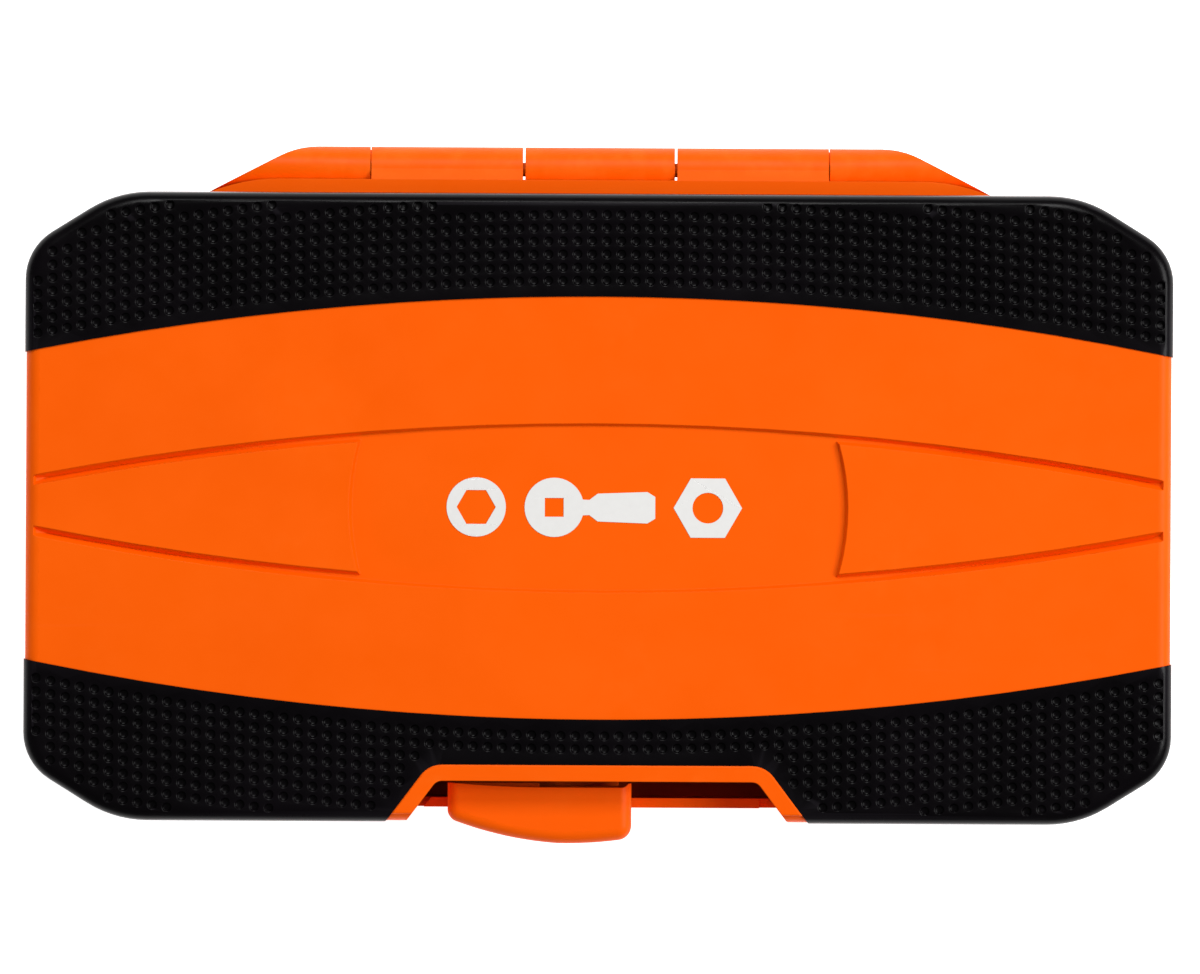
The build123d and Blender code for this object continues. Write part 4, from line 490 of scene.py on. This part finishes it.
def dimpled_grip(node, side, up, outline, material):
    """A grip with the CAD grip's shape and real pits moulded into its broad face."""
    bm = bmesh.new()
    bm.from_mesh(NODES[node].data)
    bmesh.ops.remove_doubles(bm, verts=bm.verts, dist=WELD)
    bm.normal_update()
    surface = BVHTree.FromBMesh(bm)
    low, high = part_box(node)
    level = high.z if up > 0 else low.z
    broad = [
        f for f in bm.faces
        if f.normal.z * up > TOP_SLOPE and abs(f.calc_center_median().z - level) < TOP_DROP
    ]
    rim, flat, creases = broad_rim(broad)
    notch = notch_spread(flat, side) if side < 0 else []
    mouths = pit_mouths(side, inward_lines(outline, FIELD_INSET), notch)
    plan, on_rim, triangles = pitted_plan(rim, flat, creases, mouths)

    bmesh.ops.delete(bm, geom=broad, context="FACES_ONLY")
    bmesh.ops.delete(bm, geom=[e for e in bm.edges if not e.link_faces], context="EDGES")
    placed = []
    for p, at in zip(plan, on_rim):
        if at is not None:
            placed.append(rim[at])
            continue
        hit = surface.ray_cast(Vector((p.x, p.y, level + up * FAR)), Vector((0, 0, -up)))[0]
        height = hit.z if hit else min(rim, key=lambda v: (v.co.xy - p).length).co.z
        placed.append(bm.verts.new((p.x, p.y, height)))
    for t in triangles:
        a, b, c = (placed[i] for i in t)
        if a is not b and b is not c and a is not c:
            bm.faces.new((a, b, c) if up > 0 else (a, c, b))
    bm.normal_update()
    for loop in loops_of([e for e in bm.edges if len(e.link_faces) == 1]):
        sink_pit(bm, loop, up)
    bmesh.ops.delete(bm, geom=[v for v in bm.verts if not v.link_faces], context="VERTS")
    bmesh.ops.recalc_face_normals(bm, faces=bm.faces)
    for f in bm.faces:
        f.smooth = True
    for e in bm.edges:
        e.smooth = e.calc_face_angle(0) < SMOOTH_ANGLE
    return new_object(node + "_dimpled", bm, material)


def sink_pit(bm, loop, up):
    """Fills an open loop with a pit: rings that go down to a flat floor."""
    middle = sum((v.co for v in loop), Vector()) / len(loop)
    mouth_radius = PIT_RINGS[0][0]
    ring = loop
    for radius, depth in PIT_RINGS[1:]:
        shrink = radius / mouth_radius
        lower = []
        for v in loop:
            co = middle + (v.co - middle) * shrink
            lower.append(bm.verts.new((co.x, co.y, v.co.z - up * depth * MM)))
        for i in range(len(loop)):
            j = (i + 1) % len(loop)
            bm.faces.new((ring[i], ring[j], lower[j], lower[i]))
        ring = lower
    bm.faces.new(ring)


def notch_spread(rim, side):
    """Closely spaced points along the part of the rim that borders the latch notch."""
    spread = []
    for a, b in zip(rim, rim[1:] + rim[:1]):
        middle = (a + b) / 2
        if abs(middle.x) < NOTCH_HALF and side * middle.y > band_edge(middle.x) + NOTCH_START:
            steps = max(1, int((b - a).length / NOTCH_STEP))
            spread += [a + (b - a) * (i / steps) for i in range(steps + 1)]
    return spread


def make_grips(material):
    """The four dimpled grips, each in place of its CAD grip."""
    for body, up in (("lid", 1), ("base", -1)):
        names = (f"{body}_grip_rear", f"{body}_grip_front")
        corners = [(v.co.x, v.co.y) for name in names for v in NODES[name].data.vertices]
        outline = hull(corners)
        for name, side in zip(names, (1, -1)):
            grip = dimpled_grip(name, side, up, outline, material)
            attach(grip, body)
            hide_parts(name)


# ---------------------------------------------------------------- the printed mark

MARK_MIDDLE = (-0.7 * MM, 0.1 * MM)
MARK_LIFT = 0.03 * MM
INK_THICKNESS = 0.05 * MM
# The mark's own measures, in millimetres.
MARK_HALF_HEIGHT = 4.9
NUT_X = 18.8
SOCKET_X = -19.5
HEAD_X = -6.6
HANDLE = ((-2.6, 1.3), (-0.8, 1.25), (0.6, 2.3), (8.8, 2.6), (10.1, 1.8))
HEAD_STEPS = 40
NUT_HOLE = 0.52 * MARK_HALF_HEIGHT
DRIVE_HOLE = 0.45 * MARK_HALF_HEIGHT
SOCKET_HOLE = 0.66 * MARK_HALF_HEIGHT


def ring(x, radius, sides, turned=0.0):
    """A regular outline of radius round (x, 0), in millimetres."""
    turns = [math.tau * (i + turned) / sides for i in range(sides)]
    return [(x + radius * math.cos(t), radius * math.sin(t)) for t in turns]


def ratchet_outline():
    """A ratchet seen from above: a round head that runs into a handle to the right."""
    start = math.asin(HANDLE[0][1] / MARK_HALF_HEIGHT)
    head = []
    for i in range(HEAD_STEPS + 1):
        angle = start + (math.tau - 2 * start) * i / HEAD_STEPS
        head.append((HEAD_X + MARK_HALF_HEIGHT * math.cos(angle), MARK_HALF_HEIGHT * math.sin(angle)))
    low = [(x, -y) for x, y in HANDLE[1:]]
    high = [(x, y) for x, y in reversed(HANDLE[1:])]
    return head + low + high


def mark_shapes():
    """The mark's shapes, each an outline with its hole: a nut, a ratchet and a socket's mouth."""
    corner = MARK_HALF_HEIGHT / math.cos(math.pi / 6)
    return (
        (ring(NUT_X, corner, 6), ring(NUT_X, NUT_HOLE, 32)),
        (ratchet_outline(), ring(HEAD_X, DRIVE_HOLE, 4, 0.5)),
        (ring(SOCKET_X, MARK_HALF_HEIGHT, 48), ring(SOCKET_X, SOCKET_HOLE, 6)),
    )


def make_mark(material):
    """The white print in the middle of the lid: a thin layer of ink that lies on the sunk panel."""
    lid = bmesh.new()
    lid.from_mesh(NODES["lid_shell"].data)
    panel = BVHTree.FromBMesh(lid)
    lid.free()
    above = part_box("lid_shell")[1].z + FAR
    bm = bmesh.new()
    for shape in mark_shapes():
        loops = [[Vector((x * MM + MARK_MIDDLE[0], y * MM + MARK_MIDDLE[1], 0)) for x, y in loop] for loop in shape]
        flat = [p for loop in loops for p in loop]
        heights = [panel.ray_cast(Vector((p.x, p.y, above)), Vector((0, 0, -1)))[0].z for p in flat]
        low, high = (
            [bm.verts.new((p.x, p.y, z + lift)) for p, z in zip(flat, heights)]
            for lift in (MARK_LIFT, MARK_LIFT + INK_THICKNESS)
        )
        for a, b, c in tessellate_polygon(loops):
            if turn(flat[a], flat[b], flat[c]) < 0:
                b, c = c, b
            bm.faces.new([high[i] for i in (a, b, c)])
            bm.faces.new([low[i] for i in (a, c, b)])
        first = 0
        for loop in loops:
            for i in range(len(loop)):
                here, after = first + i, first + (i + 1) % len(loop)
                bm.faces.new((low[here], low[after], high[after], high[here]))
            first += len(loop)
    bmesh.ops.recalc_face_normals(bm, faces=bm.faces)
    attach(new_object("lid_mark", bm, material), "lid")


# ---------------------------------------------------------------- finishes for the CAD nodes


def paint_nodes(finishes):
    """Gives each CAD node the finish of its own material slot."""
    for name, node in NODES.items():
        for place in node.material_slots:
            place.material = finishes[place.material.name.split(".")[0]]


finishes = {
    "orange": moulded_orange(),
    "rubber": moulded_rubber(),
    "tray": tray_foam(),
    "rack_plastic": black_plastic(),
    "chrome": satin_chrome(),
    "steel": dark_steel(),
}
make_camera()
make_lights()
make_floor()
paint_nodes(finishes)
make_grips(finishes["rubber"])
make_mark(white_print())
